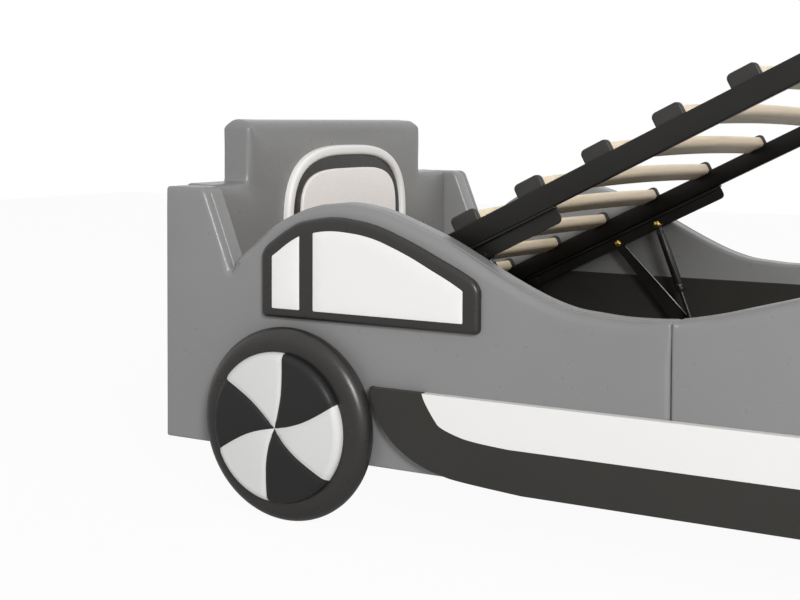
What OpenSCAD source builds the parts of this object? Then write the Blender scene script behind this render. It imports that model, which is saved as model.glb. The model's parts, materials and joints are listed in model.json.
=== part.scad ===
// Children's car bed with a gas lift slatted frame over a storage box.
// Rear of the car, which is the head of the bed, is at -X, its front at +X.
// The near side of the photograph is at -Y. The floor is Z = 0.
// All lengths are in millimetres. The frame is drawn raised, as photographed.

/* [Body] */
// length of the upholstered side panels, rear edge to front edge
body_l = 2030; // [1960:10:2200]
// width over the outer faces of the two side panels
body_w = 1160; // [1080:5:1300]
// thickness of a padded panel
panel_t = 64; // [50:1:80]
// height of the body's lower edge over the floor
body_z = 120; // [90:1:150]
// height of the rear post and of the headboard shoulders
post_h = 614; // [560:2:680]
// width of the rear post at its top
post_w = 87; // [75:1:110]
// lowest point of the side, at the door
door_h = 418; // [385:1:450]
// height of the roof arch above the floor
roof_h = 591; // [550:1:610]
// height of the front fender above the floor
fender_h = 512; // [470:1:550]
// roundness of the posts, ends and lower edges
edge_r = 12; // [6:0.5:14]
// roundness of the roof line, which is padded more
roof_r = 18; // [10:1:24]

/* [Headboard and footboard] */
// thickness of the headboard and of the footboard
head_t = 62; // [45:1:80]
// height of the headboard's middle block
head_h = 746; // [680:2:820]
// width of the middle block
block_w = 748; // [640:2:820]
// roundness of the headboard's top edges
head_r = 14; // [6:1:20]
// height of the footboard, the nose of the car
nose_h = 424; // [390:2:460]

/* [Rear window emblem] */
// width of the emblem over its white piping
emblem_w = 530; // [440:5:620]
// middle of the rear window emblem off the middle of the bed
emblem_side = 12; // [0:1:30]
// top of the emblem over the floor
emblem_top = 689; // [640:1:700]
// bottom of the emblem over the floor
emblem_bot = 432; // [400:1:470]
// width of the white piping ring
piping_w = 24; // [12:1:34]
// width of the black band inside the piping
band_w = 32; // [20:1:45]
// how far the piping stands out of the headboard
piping_out = 15; // [8:0.5:20]
// how far the band and the pane stand out of the headboard
band_out = 12; // [6:0.5:16]

/* [Side windows] */
// rear edge of the window, from the body's rear edge
win_x = 230.5; // [200:1:260]
// length of the window
win_l = 453; // [400:1:520]
// bottom of the window over the floor
win_z = 374; // [340:1:400]
// top of the window at its highest point
win_top = 566; // [520:1:570]
// thickness of the padded window form
win_t = 14; // [8:0.5:20]
// width of the black edge below the panes
win_edge = 18; // [10:0.5:24]
// width of the black edge at the rear of the panes
win_rear = 26; // [12:0.5:30]
// width of the black edge at the front of the panes
win_front = 32; // [20:0.5:50]
// width of the black edge above the panes
win_over = 25; // [20:0.5:40]
// width of the black bar between the panes
mullion_w = 29; // [16:0.5:40]
// length of the small rear pane
pane_l = 61; // [40:1:100]
// depth of a pane let into the form
pane_t = 4; // [2:0.5:6]

/* [Wheels] */
// diameter of a wheel
wheel_d = 360; // [320:2:400]
// width of the padded tyre
tyre_w = 46; // [36:1:60]
// diameter of the padded hub
hub_d = 276; // [230:2:300]
// how far the hub's rim stands out of the tyre
hub_out = 7; // [3:0.5:12]
// extra height in the middle of the hub
hub_crown = 6; // [2:0.5:10]
// distance from a wheel's axis to the nearer end of the body
wheel_in = 298; // [270:2:330]
// turn of the pinwheel on the hub
spin_deg = 70; // [0:1:119]

/* [Skirts and bumper] */
// thickness of a skirt board
skirt_t = 18; // [12:0.5:25]
// lower edge of a skirt over the floor
skirt_z = 110; // [90:1:118]
// top of a skirt over the floor
skirt_top = 262; // [240:1:290]
// lower edge of the white inset over the floor
inset_z = 186; // [160:1:210]
// gap along X from a wheel's axis to the skirt's tip
skirt_off = 173; // [165:1:220]
// how far the white inset starts behind the skirt's tip
inset_off = 104; // [70:1:140]
// thickness of the front bumper board
bumper_t = 20; // [14:0.5:26]

/* [Storage box] */
// thickness of the lining boards
lining_t = 12; // [9:0.5:15]
// top of the lining boards over the floor
lining_top = 374; // [340:1:400]
// thickness of the floor boards
floor_t = 12; // [9:0.5:18]
// height of the floor boards' underside over the floor
floor_z = 126; // [122:1:140]
// side of a square leg
leg_w = 50; // [40:1:60]
// height of the middle beam under the floor boards
beam_h = 40; // [30:1:60]

/* [Lift frame] */
// how far the slats stand over the lining when the frame is lowered
deck_up = 8; // [0:1:20]
// play between a side rail and the lining board
frame_play = 4; // [3:0.5:12]
// length of the side rails
frame_l = 1880; // [1800:5:1900]
// height of a side rail
rail_h = 40; // [30:1:50]
// width of a side rail
rail_t = 20; // [15:1:30]
// wall of the square and flat tubes
tube_wall = 2; // [1.2:0.1:3]
// angle by which the frame is raised in the photograph
lift_deg = 27; // [15:1:35]
// number of slats
slat_n = 13; // [10:1:15]
// distance between neighbouring slats
slat_pitch = 137.5; // [110:0.5:150]
// distance from the frame's rear end to the first slat
slat_first = 76; // [60:1:110]
// width of a slat
slat_w = 45; // [40:1:70]
// rise of a slat from its ends to its middle
slat_bow = 7; // [0:1:24]
// thickness of a slat
slat_t = 20; // [12:1:28]
// how far a slat stands above the rails
slat_up = 19; // [10:1:24]
// length of a slat holder along the rail
cap_l = 51; // [46:1:80]

/* [Lift mechanism] */
// distance between the rear end of the frame and the arm's bolt
bolt_u = 376; // [340:1:420]
// distance between the arm's bolt and the strut's bolt
bolt_gap = 113.5; // [95:0.5:130]
// depth of both bolts below the top of the rail
bolt_drop = 62; // [56:0.5:66]
// height of the mechanism's upper bar
bar_h = 30; // [26:1:36]
// thickness of the bar, arms and plates
plate_t = 4; // [3:0.5:6]
// length of the upper bar to the front of the arm's bolt
bar_front = 278; // [200:2:300]
// length of the upper bar behind the arm's bolt
bar_rear = 255; // [240:2:280]
// length of the lifting arm between its pivots
arm_l = 296; // [270:1:320]
// width of the arm at its foot
arm_w = 40; // [26:1:46]
// angle of the raised arm, back from straight ahead
arm_open_deg = 132; // [125:1:140]
// angle of the lowered arm, back from straight ahead
arm_shut_deg = 166; // [160:1:170]
// distance of the rear link's bolt behind the arm's bolt
link_u = 230; // [210:1:240]
// length of the rear link between its pivots
link_l = 155; // [140:1:165]
// length of the raised gas strut between its pivots
strut_l = 370; // [366:1:390]
// angle of the raised strut below straight ahead
strut_deg = 70; // [68:0.5:72]
// length of the strut's cylinder from its eye
cyl_l = 160; // [150:1:170]
// diameter of the strut's cylinder
cyl_d = 18; // [15:0.5:20]
// diameter of the strut's rod
rod_d = 11; // [6:0.5:13]
// diameter of a pivot bolt
bolt_d = 10; // [8:0.5:12]

/* [Hidden] */
$fn = 40;
// named clearances
fit = 0.08; // radial play of a pivot
side_gap = 0.3; // play between plates that pass each other
over = 1; // overrun of a cut
head_proud = 3; // headboard behind the side panels

// main places along X
x_rear = -(body_l + bumper_t + head_proud) / 2 + head_proud;
x_front = x_rear + body_l;
x_seam = x_rear + body_l / 2;
x_head = x_rear - head_proud + head_t;
x_foot = x_front - head_t;
x_w1 = x_rear + wheel_in;
x_w2 = x_front - wheel_in;
wheel_r = wheel_d / 2;
y_out = body_w / 2;
y_in = y_out - panel_t;
y_line = y_in - lining_t;
floor_top = floor_z + floor_t;
y_frame = y_line - frame_play; // outer face of the side rails

// lift geometry, in the plane of the side: x forward, z up
deck_z = lining_top + deck_up - slat_up; // top of the rails when lowered
function dir(a) = [cos(a), sin(a)];
function turn(v, a) = [v[0] * cos(a) - v[1] * sin(a), v[0] * sin(a) + v[1] * cos(a)];
frame_gap = 15; // between the lowered frame and the headboard
arm_shut_p = [x_head + frame_gap + bolt_u, deck_z - bolt_drop];
base_p = arm_shut_p - arm_l * dir(arm_shut_deg);
arm_p = base_p + arm_l * dir(arm_open_deg);
strut_p = arm_p + bolt_gap * dir(lift_deg);
strut_shut_p = arm_shut_p + [bolt_gap, 0];
strut_base_p = strut_p + strut_l * dir(-strut_deg);
strut_shut_l = norm(strut_base_p - strut_shut_p);
strut_shut_deg = atan2(strut_base_p[1] - strut_shut_p[1], strut_base_p[0] - strut_shut_p[0]);
link_p = arm_p - link_u * dir(lift_deg);
link_shut_p = arm_shut_p - [link_u, 0];
link_mid = (link_p + link_shut_p) / 2;
link_half = norm(link_p - link_shut_p) / 2;
link_side = (link_shut_p - link_p) / (2 * link_half);
link_base_p = link_mid + sqrt(link_l * link_l - link_half * link_half) * [-link_side[1], link_side[0]];
link_deg = atan2(link_p[1] - link_base_p[1], link_p[0] - link_base_p[0]);
link_shut_deg = atan2(link_shut_p[1] - link_base_p[1], link_shut_p[0] - link_base_p[0]);

// planes across the bed, measured out from the middle
y_bar = y_frame - 3 * plate_t; // outer face of the upper bar's web
y_bar_in = y_bar - plate_t;
y_arm = y_bar_in - side_gap; // outer face of arms and links
y_arm_in = y_arm - plate_t - over;
eye_t = 1.1 * rod_d; // thickness of the strut's eyes
y_eye = y_arm_in - 3 * over - plate_t; // outer face of the strut's eyes
y_eye_in = y_eye - eye_t;
head_d = 1.7 * bolt_d; // head of a pivot bolt
head_h2 = 0.6 * bolt_d; // height of that head
eye_r = 0.95 * bolt_d; // radius of an eye

echo(base_p = base_p, arm_p = arm_p, link_base_p = link_base_p, link_p = link_p);
echo(strut_p = strut_p, strut_base_p = strut_base_p, strut_shut_l = strut_shut_l);
echo(link_deg = link_deg, link_shut_deg = link_shut_deg, strut_shut_deg = strut_shut_deg);
echo(x_rear = x_rear, x_head = x_head, x_foot = x_foot, x_w1 = x_w1, x_w2 = x_w2, y_in = y_in);

// padded forms

// a padded form is given as matching lists of lower and upper points
function unit2(v) = v / norm(v);
function left2(v) = [-v[1], v[0]];
function ring_of(lo, hi) = concat(lo, [for (i = [len(hi) - 1 : -1 : 0]) hi[i]]);
function inset_pt(p, i, d) =
    let(n = len(p), a = left2(unit2(p[i] - p[(i + n - 1) % n])),
        b = left2(unit2(p[(i + 1) % n] - p[i])))
    p[i] + d * (a + b) / (1 + a * b);

// padded slab: outline in x and y, rising along z, edge radius r at each point
module padded(lo, hi, rlo, rhi, t, front_only = false) {
    p = ring_of(lo, hi);
    r = ring_of(rlo, rhi);
    n = len(p);
    h = len(lo);
    steps = [0, 30, 60, 90];
    down = front_only ? [] : [for (a = steps) [a, 0]];
    up = [for (i = [3 : -1 : 0]) [steps[i], 1]];
    levels = concat(front_only ? [[90, 2]] : down, up);
    pts = [for (l = levels) for (i = [0 : n - 1])
        let(q = inset_pt(p, i, r[i] * (1 - sin(l[0]))), d = r[i] * (1 - cos(l[0])))
        [q[0], q[1], l[1] == 0 ? d : l[1] == 1 ? t - d : 0]];
    m = len(levels);
    top0 = (m - 1) * n;
    side = [for (j = [0 : m - 2]) for (i = [0 : n - 1]) let(k = (i + 1) % n, a = j * n)
        each [[a + i, a + n + i, a + n + k], [a + i, a + n + k, a + k]]];
    caps = [for (i = [0 : h - 2]) let(b = i, c = i + 1, d = n - 2 - i, e = n - 1 - i)
        each [[b, d, e], [b, c, d], [top0 + b, top0 + e, top0 + d], [top0 + b, top0 + d, top0 + c]]];
    polyhedron(points = pts, faces = concat(side, caps), convexity = 6);
}

// places along a form from a to b, closer together at both rounded ends
end_shares = [0, 0.134, 0.5, 1];
function span(a, b, r, n) = concat([for (s = end_shares) a + s * r],
    [for (i = [1 : n - 1]) a + r + (b - a - 2 * r) * i / n],
    [for (i = [3 : -1 : 0]) b - end_shares[i] * r]);
// drop of a rounded corner of radius r at place x between a and b
function drop(x, a, b, r) = let(d = min(x - a, b - x))
    d >= r ? 0 : r - sqrt(max(0, r * r - (r - max(0, d)) * (r - max(0, d))));

// smooth line through points that run forward along x
function cr(a, b, c, d, t) = 0.5 * (2 * b + (c - a) * t + (2 * a - 5 * b + 4 * c - d) * t * t
    + (3 * b - a - 3 * c + d) * t * t * t);
function smooth(p, k) = concat([for (i = [0 : len(p) - 2]) for (j = [0 : k - 1])
    cr(p[max(0, i - 1)], p[i], p[i + 1], p[min(len(p) - 1, i + 2)], j / k)], [p[len(p) - 1]]);
// height of a smooth line at place x
function at(p, x) = let(i = [for (j = [0 : len(p) - 2]) if (p[j + 1][0] >= x) j][0],
    a = p[i], b = p[i + 1]) a[1] + (b[1] - a[1]) * (x - a[0]) / (b[0] - a[0]);

// roof line, as shares of half the body's length and of the rise from door to roof
half_l = body_l / 2;
roof_rise = roof_h - door_h;
notch_x_share = 0.145;
notch_share = 0.253;
post_foot_x_share = 0.141; // place above the notch where the post's front edge bends
post_foot_share = 0.310;
roof_shares = [[0.162, 0.342], [0.185, 0.462], [0.208, 0.578], [0.231, 0.688], [0.253, 0.772],
    [0.275, 0.835], [0.308, 0.917], [0.340, 0.971], [0.368, 0.992], [0.400, 1.0],
    [0.446, 0.967], [0.487, 0.905], [0.540, 0.787], [0.592, 0.662], [0.644, 0.505],
    [0.681, 0.388], [0.719, 0.275], [0.755, 0.177], [0.790, 0.099], [0.825, 0.044],
    [0.862, 0.020], [0.905, 0.0], [0.950, 0.0], [1.0, 0.012]];
roof_line = smooth([for (s = roof_shares) [x_rear + s[0] * half_l, door_h + s[1] * roof_rise]], 2);
notch_p = [x_rear + notch_x_share * half_l, door_h + notch_share * roof_rise];

// fender line, as shares of half the body's length and of the rise from door to fender
fender_rise = fender_h - door_h;
nose_drop_share = 0.15;
fender_shares = [[0.0, 0.03], [0.06, 0.16], [0.14, 0.40], [0.24, 0.70], [0.34, 0.90],
    [0.46, 1.0], [0.58, 0.95], [0.70, 0.76], [0.82, 0.48], [0.92, 0.22], [1.0, 0.02]];
fender_line = smooth([for (s = fender_shares)
    [x_seam + s[0] * half_l, door_h + s[1] * fender_rise]], 2);

corner_r = edge_r + 2 * over;
post_x = x_rear + post_w;
post_top = concat([for (s = end_shares) [x_rear + s * corner_r,
    post_h - drop(x_rear + s * corner_r, x_rear, post_x, corner_r)]],
    [[post_x - corner_r, post_h]],
    [[post_x - corner_r / 4, post_h - corner_r / 4], [post_x + corner_r / 4, post_h - corner_r]],
    [[x_rear + post_foot_x_share * half_l, door_h + post_foot_share * roof_rise]]);
rear_hi = concat(post_top, [notch_p], [for (q = roof_line) if (q[0] < x_seam - corner_r) q],
    [for (i = [3 : -1 : 0]) let(x = x_seam - end_shares[i] * corner_r)
        [x, at(roof_line, x) - drop(x, x_rear, x_seam, corner_r)]]);
rear_lo = [for (q = rear_hi) [q[0], body_z + drop(q[0], x_rear, x_seam, corner_r)]];
rear_rhi = [for (i = [0 : len(rear_hi) - 1])
    i < len(post_top) + 1 || i > len(rear_hi) - 3 ? edge_r
    : min(roof_r, edge_r + (roof_r - edge_r) * min(i - len(post_top), len(rear_hi) - 3 - i) / 4)];
rear_rlo = [for (q = rear_hi) edge_r];

front_hi = [for (x = concat([for (s = end_shares) x_seam + s * corner_r],
        [for (q = fender_line) if (q[0] > x_seam + 2 * corner_r && q[0] < x_front - 3 * edge_r) q[0]],
        [for (i = [3 : -1 : 0]) x_front - end_shares[i] * 2.5 * edge_r]))
    [x, at(fender_line, x) - drop(x, x_seam, 2 * x_front, corner_r)
        - drop(x, 2 * x_seam - x_front, x_front, 2.5 * edge_r)]];
front_lo = [for (q = front_hi) [q[0], body_z + drop(q[0], x_seam, 2 * x_front, corner_r)
    + drop(q[0], 2 * x_seam - x_front, x_front, 2.5 * edge_r)]];
front_rhi = [for (i = [0 : len(front_hi) - 1])
    min(roof_r, edge_r + (roof_r - edge_r) * min(i, len(front_hi) - 1 - i) / 4)];
front_rlo = [for (q = front_hi) edge_r];

// stands a form up in the plane of the near side, its outer face at -y
module near_wall(y) translate([0, -y, 0]) rotate([90, 0, 0]) children();
module far_side() mirror([0, 1, 0]) children();
// stands a form up across the bed, rising forward from x
module across(x) translate([x, 0, 0]) rotate([90, 0, 90]) children();

grey = [0.52, 0.52, 0.52];
black = [0.16, 0.155, 0.15];
white = [0.93, 0.93, 0.92];
steel = [0.11, 0.11, 0.11];
board = [0.14, 0.14, 0.14];
beech = [0.85, 0.76, 0.63];
brass = [0.80, 0.62, 0.25];

// upholstered body

module rear_panel() color(grey) near_wall(y_in)
    padded(rear_lo, rear_hi, rear_rlo, rear_rhi, panel_t);
module front_panel() color(grey) near_wall(y_in)
    padded(front_lo, front_hi, front_rlo, front_rhi, panel_t);
module side_rear_near() rear_panel();
module side_rear_far() far_side() rear_panel();
module side_front_near() front_panel();
module side_front_far() far_side() front_panel();

// stepped outline of the headboard
step_e = over / 4; // keeps neighbouring columns apart
function step_top(y) = abs(y) <= block_w / 2 ? head_h : post_h;
head_ys = concat([for (s = end_shares) -y_in + s * corner_r], [-block_w / 2 - step_e],
    [for (s = end_shares) -block_w / 2 + s * 2 * head_r],
    [for (i = [3 : -1 : 0]) block_w / 2 - end_shares[i] * 2 * head_r], [block_w / 2 + step_e],
    [for (i = [3 : -1 : 0]) y_in - end_shares[i] * corner_r]);
head_hi = [for (y = head_ys) [y, abs(y) <= block_w / 2
    ? head_h - drop(y, -block_w / 2, block_w / 2, 2 * head_r)
    : post_h - drop(y, -y_in, y_in, corner_r)]];
head_lo = [for (y = head_ys) [y, body_z + drop(y, -y_in, y_in, corner_r)]];
head_rhi = [for (y = head_ys) abs(y) <= block_w / 2 ? head_r : edge_r];
module headboard() color(grey) across(x_head - head_t)
    padded(head_lo, head_hi, [for (y = head_ys) edge_r], head_rhi, head_t);

nose_ys = span(-y_in, y_in, 2 * edge_r, 8);
nose_crown = 0.04; // rise of the nose in the middle, as a share of its height
nose_hi = [for (y = nose_ys) [y, nose_h - nose_h * nose_crown * (y * y) / (y_in * y_in)
    - drop(y, -y_in, y_in, 2 * edge_r)]];
module footboard() color(grey) across(x_foot)
    padded([for (y = nose_ys) [y, body_z + drop(y, -y_in, y_in, 2 * edge_r)]], nose_hi, [for (y = nose_ys) edge_r],
        [for (y = nose_ys) min(roof_r, head_r)], head_t);

// rear window emblem: rounded outline, flatter at the bottom
emblem_pow = 3;
emblem_mid_share = 0.73; // widest place, as a share from the top down
emblem_k = 14; // columns
function emblem_cols(a) = [for (i = [-emblem_k : emblem_k]) a * sin(90 * i / emblem_k)];
function emblem_edge(u) = pow(max(0, 1 - pow(abs(u), emblem_pow)), 1 / emblem_pow);
emblem_mid = emblem_top - (emblem_top - emblem_bot) * emblem_mid_share;
emblem_tip = 0.12; // half height of the flat ends, as a share of the rise
function emblem_hi(a, d) = [for (y = emblem_cols(a)) [y,
    emblem_mid + (emblem_top - d - emblem_mid) * max(emblem_tip, emblem_edge(y / a))]];
function emblem_lo(a, d) = [for (y = emblem_cols(a)) [y,
    emblem_mid - (emblem_mid - emblem_bot - d) * max(emblem_tip, emblem_edge(y / a))]];
module emblem_form(inset, t, r) let(a = emblem_w / 2 - inset, hi = emblem_hi(a, inset),
    lo = emblem_lo(a, inset), rr = [for (q = hi) r]) padded(lo, hi, rr, rr, t, true);
module emblem_cut(inset, t) let(a = emblem_w / 2 - inset)
    translate([0, 0, -over]) linear_extrude(t + 2 * over) polygon(ring_of(emblem_lo(a, inset), emblem_hi(a, inset)));
module emblem_ring() color(white) across(x_head) translate([emblem_side, 0, 0]) difference() {
    emblem_form(0, piping_out, piping_out / 3);
    emblem_cut(piping_w, piping_out);
}
module emblem_band() color(black) across(x_head) translate([emblem_side, 0, 0]) difference() {
    linear_extrude(band_out) polygon(ring_of(emblem_lo(emblem_w / 2 - piping_w, piping_w),
        emblem_hi(emblem_w / 2 - piping_w, piping_w)));
    emblem_cut(piping_w + band_w, band_out);
}
module emblem_glass() color(white) across(x_head) translate([emblem_side, 0, 0])
    let(d = piping_w + band_w, a = emblem_w / 2 - d)
        linear_extrude(band_out) polygon(ring_of(emblem_lo(a, d), emblem_hi(a, d)));

// nose details
lamp_w = 0.30 * body_w / 2; // headlight, following the body's width
lamp_h = 0.42 * (nose_h - skirt_top);
lamp_t = 0.9 * win_t;
lamp_y = y_in - lamp_w / 2 - 4 * edge_r;
lamp_z = (nose_h + skirt_top) / 2 - edge_r;
lamp_ys = span(lamp_y - lamp_w / 2, lamp_y + lamp_w / 2, 0.98 * lamp_h / 2, 2);
module lamp() across(x_front) padded(
    [for (y = lamp_ys) [y, lamp_z - lamp_h / 2 + drop(y, lamp_y - lamp_w / 2, lamp_y + lamp_w / 2, 0.98 * lamp_h / 2)]],
    [for (y = lamp_ys) [y, lamp_z + lamp_h / 2 - drop(y, lamp_y - lamp_w / 2, lamp_y + lamp_w / 2, 0.98 * lamp_h / 2)]],
    [for (y = lamp_ys) lamp_t / 3], [for (y = lamp_ys) lamp_t / 3], lamp_t, true);
module headlight_far() color(white) lamp();
module headlight_near() color(white) far_side() lamp();
grille_w = 0.36 * body_w;
grille_h = 0.95 * lamp_h;
grille_n = 4; // open rows of the grille
grille_bar = grille_h / (2 * grille_n + 3);
module rounded_box(w, h, t, r) translate([0, 0, t / 2]) linear_extrude(t, center = true)
    polygon([for (q = [[1, 1, 0], [-1, 1, 90], [-1, -1, 180], [1, -1, 270]]) for (a = [0 : 22.5 : 90])
        [q[0] * (w / 2 - r) + r * cos(q[2] + a), q[1] * (h / 2 - r) + r * sin(q[2] + a)]]);
module grille() color(black) across(x_front) translate([0, lamp_z, 0]) difference() {
    rounded_box(grille_w, grille_h, lamp_t, 2 * edge_r);
    for (i = [0 : grille_n - 1]) translate([0, (2 * i + 1 - grille_n) * grille_bar, pane_t])
        rounded_box(grille_w - 4 * grille_bar, grille_bar, lamp_t, grille_bar / 3);
}

// side windows: one padded black form with two white panes let in
win_rise = win_top - win_z;
win_end = win_x + win_l;
win_shares = [[0, 0.70], [0.10, 0.865], [0.20, 0.955], [0.33, 1.0], [0.46, 0.985], [0.56, 0.940],
    [0.65, 0.865], [0.74, 0.775], [0.825, 0.675], [0.91, 0.575], [1.0, 0.45]];
win_line = smooth([for (s = win_shares) [x_rear + win_x + s[0] * win_l, win_z + s[1] * win_rise]], 2);
win_xs = span(x_rear + win_x, x_rear + win_end, corner_r, 16);
win_hi = [for (x = win_xs) [x, at(win_line, x) - drop(x, x_rear + win_x, x_rear + win_end, corner_r)]];
win_lo = [for (x = win_xs) [x, win_z + drop(x, x_rear + win_x, x_rear + win_end, corner_r)]];
win_r = 0.6 * win_t;
pane_x1 = x_rear + win_x + win_rear;
pane_x2 = pane_x1 + pane_l;
pane_x3 = pane_x2 + mullion_w;
pane_x4 = x_rear + win_end - win_front;
function pane(a, b, n) = let(xs = [for (i = [0 : n]) a + (b - a) * i / n])
    concat([[a, win_z + win_edge], [b, win_z + win_edge]],
        [for (i = [n : -1 : 0]) [xs[i], at(win_line, xs[i]) - win_over]]);
module pane_pair(up) translate([0, 0, win_t - pane_t]) linear_extrude(pane_t + up) {
    polygon(pane(pane_x1, pane_x2, 3));
    polygon(pane(pane_x3, pane_x4, 12));
}
module window_form() color(black) near_wall(y_out) difference() {
    padded(win_lo, win_hi, [for (x = win_xs) win_r], [for (x = win_xs) win_r], win_t, true);
    pane_pair(over);
}
module pane_form() color(white) near_wall(y_out) pane_pair(0);
module window_near() window_form();
module window_far() far_side() window_form();
module panes_near() pane_form();
module panes_far() far_side() pane_form();

// skirts: dark boards between the wheels with a white upper part
skirt_x1 = x_w1 + skirt_off;
skirt_x2 = x_w2 - skirt_off;
skirt_h = skirt_top - skirt_z;
// rear end of the skirt, as shares of its height: forward from the tip, and up
skirt_shares = [[0, 1], [0.005, 0.88], [0.055, 0.745], [0.125, 0.605], [0.21, 0.485], [0.31, 0.38],
    [0.435, 0.288], [0.565, 0.212], [0.74, 0.14], [0.90, 0.10], [1.05, 0.068], [1.36, 0.038], [1.9, 0]];
inset_h = skirt_top - inset_z;
inset_shares = [[0, 1], [0.055, 0.85], [0.18, 0.64], [0.34, 0.41], [0.45, 0.30], [0.70, 0.195],
    [1.05, 0.10], [1.47, 0.045], [2.1, 0]];
function skirt_end(sh, h, x, z) = [for (s = sh) [x + s[0] * h, z + s[1] * h]];
skirt_rear = skirt_end(skirt_shares, skirt_h, skirt_x1, skirt_z);
inset_x1 = skirt_x1 + inset_off;
inset_rear = skirt_end(inset_shares, inset_h, inset_x1, inset_z);
// the same end turned round for the front
function turned(p) = [for (i = [len(p) - 1 : -1 : 0]) [skirt_x1 + skirt_x2 - p[i][0], p[i][1]]];
function back(p) = [for (i = [len(p) - 1 : -1 : 0]) p[i]];
module skirt_board() color(black) near_wall(y_out) linear_extrude(skirt_t)
    polygon(concat(skirt_rear, turned(skirt_rear), back(turned(inset_rear)), back(inset_rear)));
module skirt_top_part() color(white) near_wall(y_out) linear_extrude(skirt_t)
    polygon(concat(inset_rear, turned(inset_rear)));
module skirt_near() skirt_board();
module skirt_far() far_side() skirt_board();
module skirt_inset_near() skirt_top_part();
module skirt_inset_far() far_side() skirt_top_part();

// front bumper, made like the skirts
bumper_w = body_w - 4 * edge_r;
bumper_in_w = bumper_w - inset_off;
module bumper() color(black) across(x_front) linear_extrude(bumper_t) polygon([
    [-bumper_w / 2 + skirt_h / 3, skirt_z], [bumper_w / 2 - skirt_h / 3, skirt_z],
    [bumper_w / 2 - skirt_h / 9, skirt_z + skirt_h / 5], [bumper_w / 2, skirt_top],
    [bumper_in_w / 2, skirt_top], [bumper_in_w / 2 - inset_h / 4, inset_z + inset_h / 5],
    [bumper_in_w / 2 - inset_h / 2, inset_z], [-bumper_in_w / 2 + inset_h / 2, inset_z],
    [-bumper_in_w / 2 + inset_h / 4, inset_z + inset_h / 5], [-bumper_in_w / 2, skirt_top],
    [-bumper_w / 2, skirt_top], [-bumper_w / 2 + skirt_h / 9, skirt_z + skirt_h / 5]]);
module bumper_inset() color(white) across(x_front) linear_extrude(bumper_t) polygon([
    [-bumper_in_w / 2 + inset_h / 2, inset_z], [bumper_in_w / 2 - inset_h / 2, inset_z],
    [bumper_in_w / 2 - inset_h / 4, inset_z + inset_h / 5], [bumper_in_w / 2, skirt_top],
    [-bumper_in_w / 2, skirt_top], [-bumper_in_w / 2 + inset_h / 4, inset_z + inset_h / 5]]);

// wheels

tyre_r2 = 0.5 * tyre_w;
hub_r = hub_d / 2;
hub_edge = 0.8 * hub_out;
hub_base = tyre_w / 3; // depth to which the hub is let into the tyre
tyre_back = 0.25 * tyre_w;
module tyre() rotate([90, 0, 0]) rotate_extrude($fn = 72) polygon(concat(
    [[hub_r, hub_base], [hub_r, tyre_w]],
    [for (a = [90 : -15 : 0]) [wheel_r - tyre_r2 + tyre_r2 * cos(a), tyre_w - tyre_r2 + tyre_r2 * sin(a)]],
    [for (a = [0 : -30 : -90]) [wheel_r - tyre_back + tyre_back * cos(a), tyre_back + tyre_back * sin(a)]],
    [[0, 0], [0, hub_base]]));
hub_top = tyre_w + hub_out;
module hub_form() rotate([90, 0, 0]) rotate_extrude($fn = 72) polygon(concat(
    [[0, hub_base], [hub_r, hub_base]],
    [for (a = [0 : 30 : 90]) [hub_r - hub_edge + hub_edge * cos(a), hub_top - hub_edge + hub_edge * sin(a)]],
    [for (s = [0.75, 0.5, 0.25, 0]) [hub_r * s, hub_top + hub_crown * (1 - s * s)]]));
// border of a pinwheel sector: shares of the hub's radius against its sweep in degrees
sweep_deg = [[0.02, 0], [0.22, 2], [0.45, 5.5], [0.65, 9], [0.83, 11.5], [1.05, 14]];
module sector(a) rotate([90, 0, 0]) translate([0, 0, tyre_w]) linear_extrude(2 * (hub_out + hub_crown))
    polygon(concat([for (q = sweep_deg) hub_r * q[0] * dir(a + q[1])],
        [for (b = [29 : 15 : 59]) 1.06 * hub_r * dir(a + b)],
        [for (i = [len(sweep_deg) - 1 : -1 : 0]) hub_r * sweep_deg[i][0] * dir(a + 60 + sweep_deg[i][1])]));
module sectors() for (k = [0 : 2]) sector(spin_deg + k * 120);
module at_wheel(x) translate([x, -y_out, wheel_r]) children();
module wheel_tyre(x) color(black) at_wheel(x) tyre();
module wheel_hub(x) color(black) at_wheel(x) difference() { hub_form(); sectors(); }
module wheel_light(x) at_wheel(x) intersection() { hub_form(); sectors(); }
module tyre_rear_near() wheel_tyre(x_w1);
module tyre_front_near() wheel_tyre(x_w2);
module tyre_rear_far() far_side() wheel_tyre(x_w1);
module tyre_front_far() far_side() wheel_tyre(x_w2);
module hub_rear_near() wheel_hub(x_w1);
module hub_front_near() wheel_hub(x_w2);
module hub_rear_far() far_side() wheel_hub(x_w1);
module hub_front_far() far_side() wheel_hub(x_w2);
module hub_sectors() color(white) {
    wheel_light(x_w1);
    wheel_light(x_w2);
    far_side() wheel_light(x_w1);
    far_side() wheel_light(x_w2);
}

// storage box

module box(x1, x2, y1, y2, z1, z2) translate([x1, y1, z1]) cube([x2 - x1, y2 - y1, z2 - z1]);
module lining() color(board) box(x_head, x_foot, -y_in, -y_line, floor_top, lining_top);
module lining_near() lining();
module lining_far() far_side() lining();
module floor_rear() color(board) box(x_head, x_seam, -y_in, y_in, floor_z, floor_top);
module floor_front() color(board) box(x_seam, x_foot, -y_in, y_in, floor_z, floor_top);
beam_w = 0.7 * leg_w;
module centre_beam() color(beech) box(x_head, x_foot, -beam_w / 2, beam_w / 2, floor_z - beam_h, floor_z);
leg_back = 0.75 * leg_w; // legs stand behind the wheels' axes
module legs() color(board) {
    for (x = [x_w1, x_w2]) for (y = [-y_in, y_in - leg_w])
        translate([x - leg_back - leg_w / 2, y, 0]) cube([leg_w, leg_w, floor_z]);
    for (x = [(x_head + x_seam) / 2, x_seam, (x_foot + x_seam) / 2])
        translate([x - leg_w / 2, -leg_w / 2, 0]) cube([leg_w, leg_w, floor_z - beam_h]);
}

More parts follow.
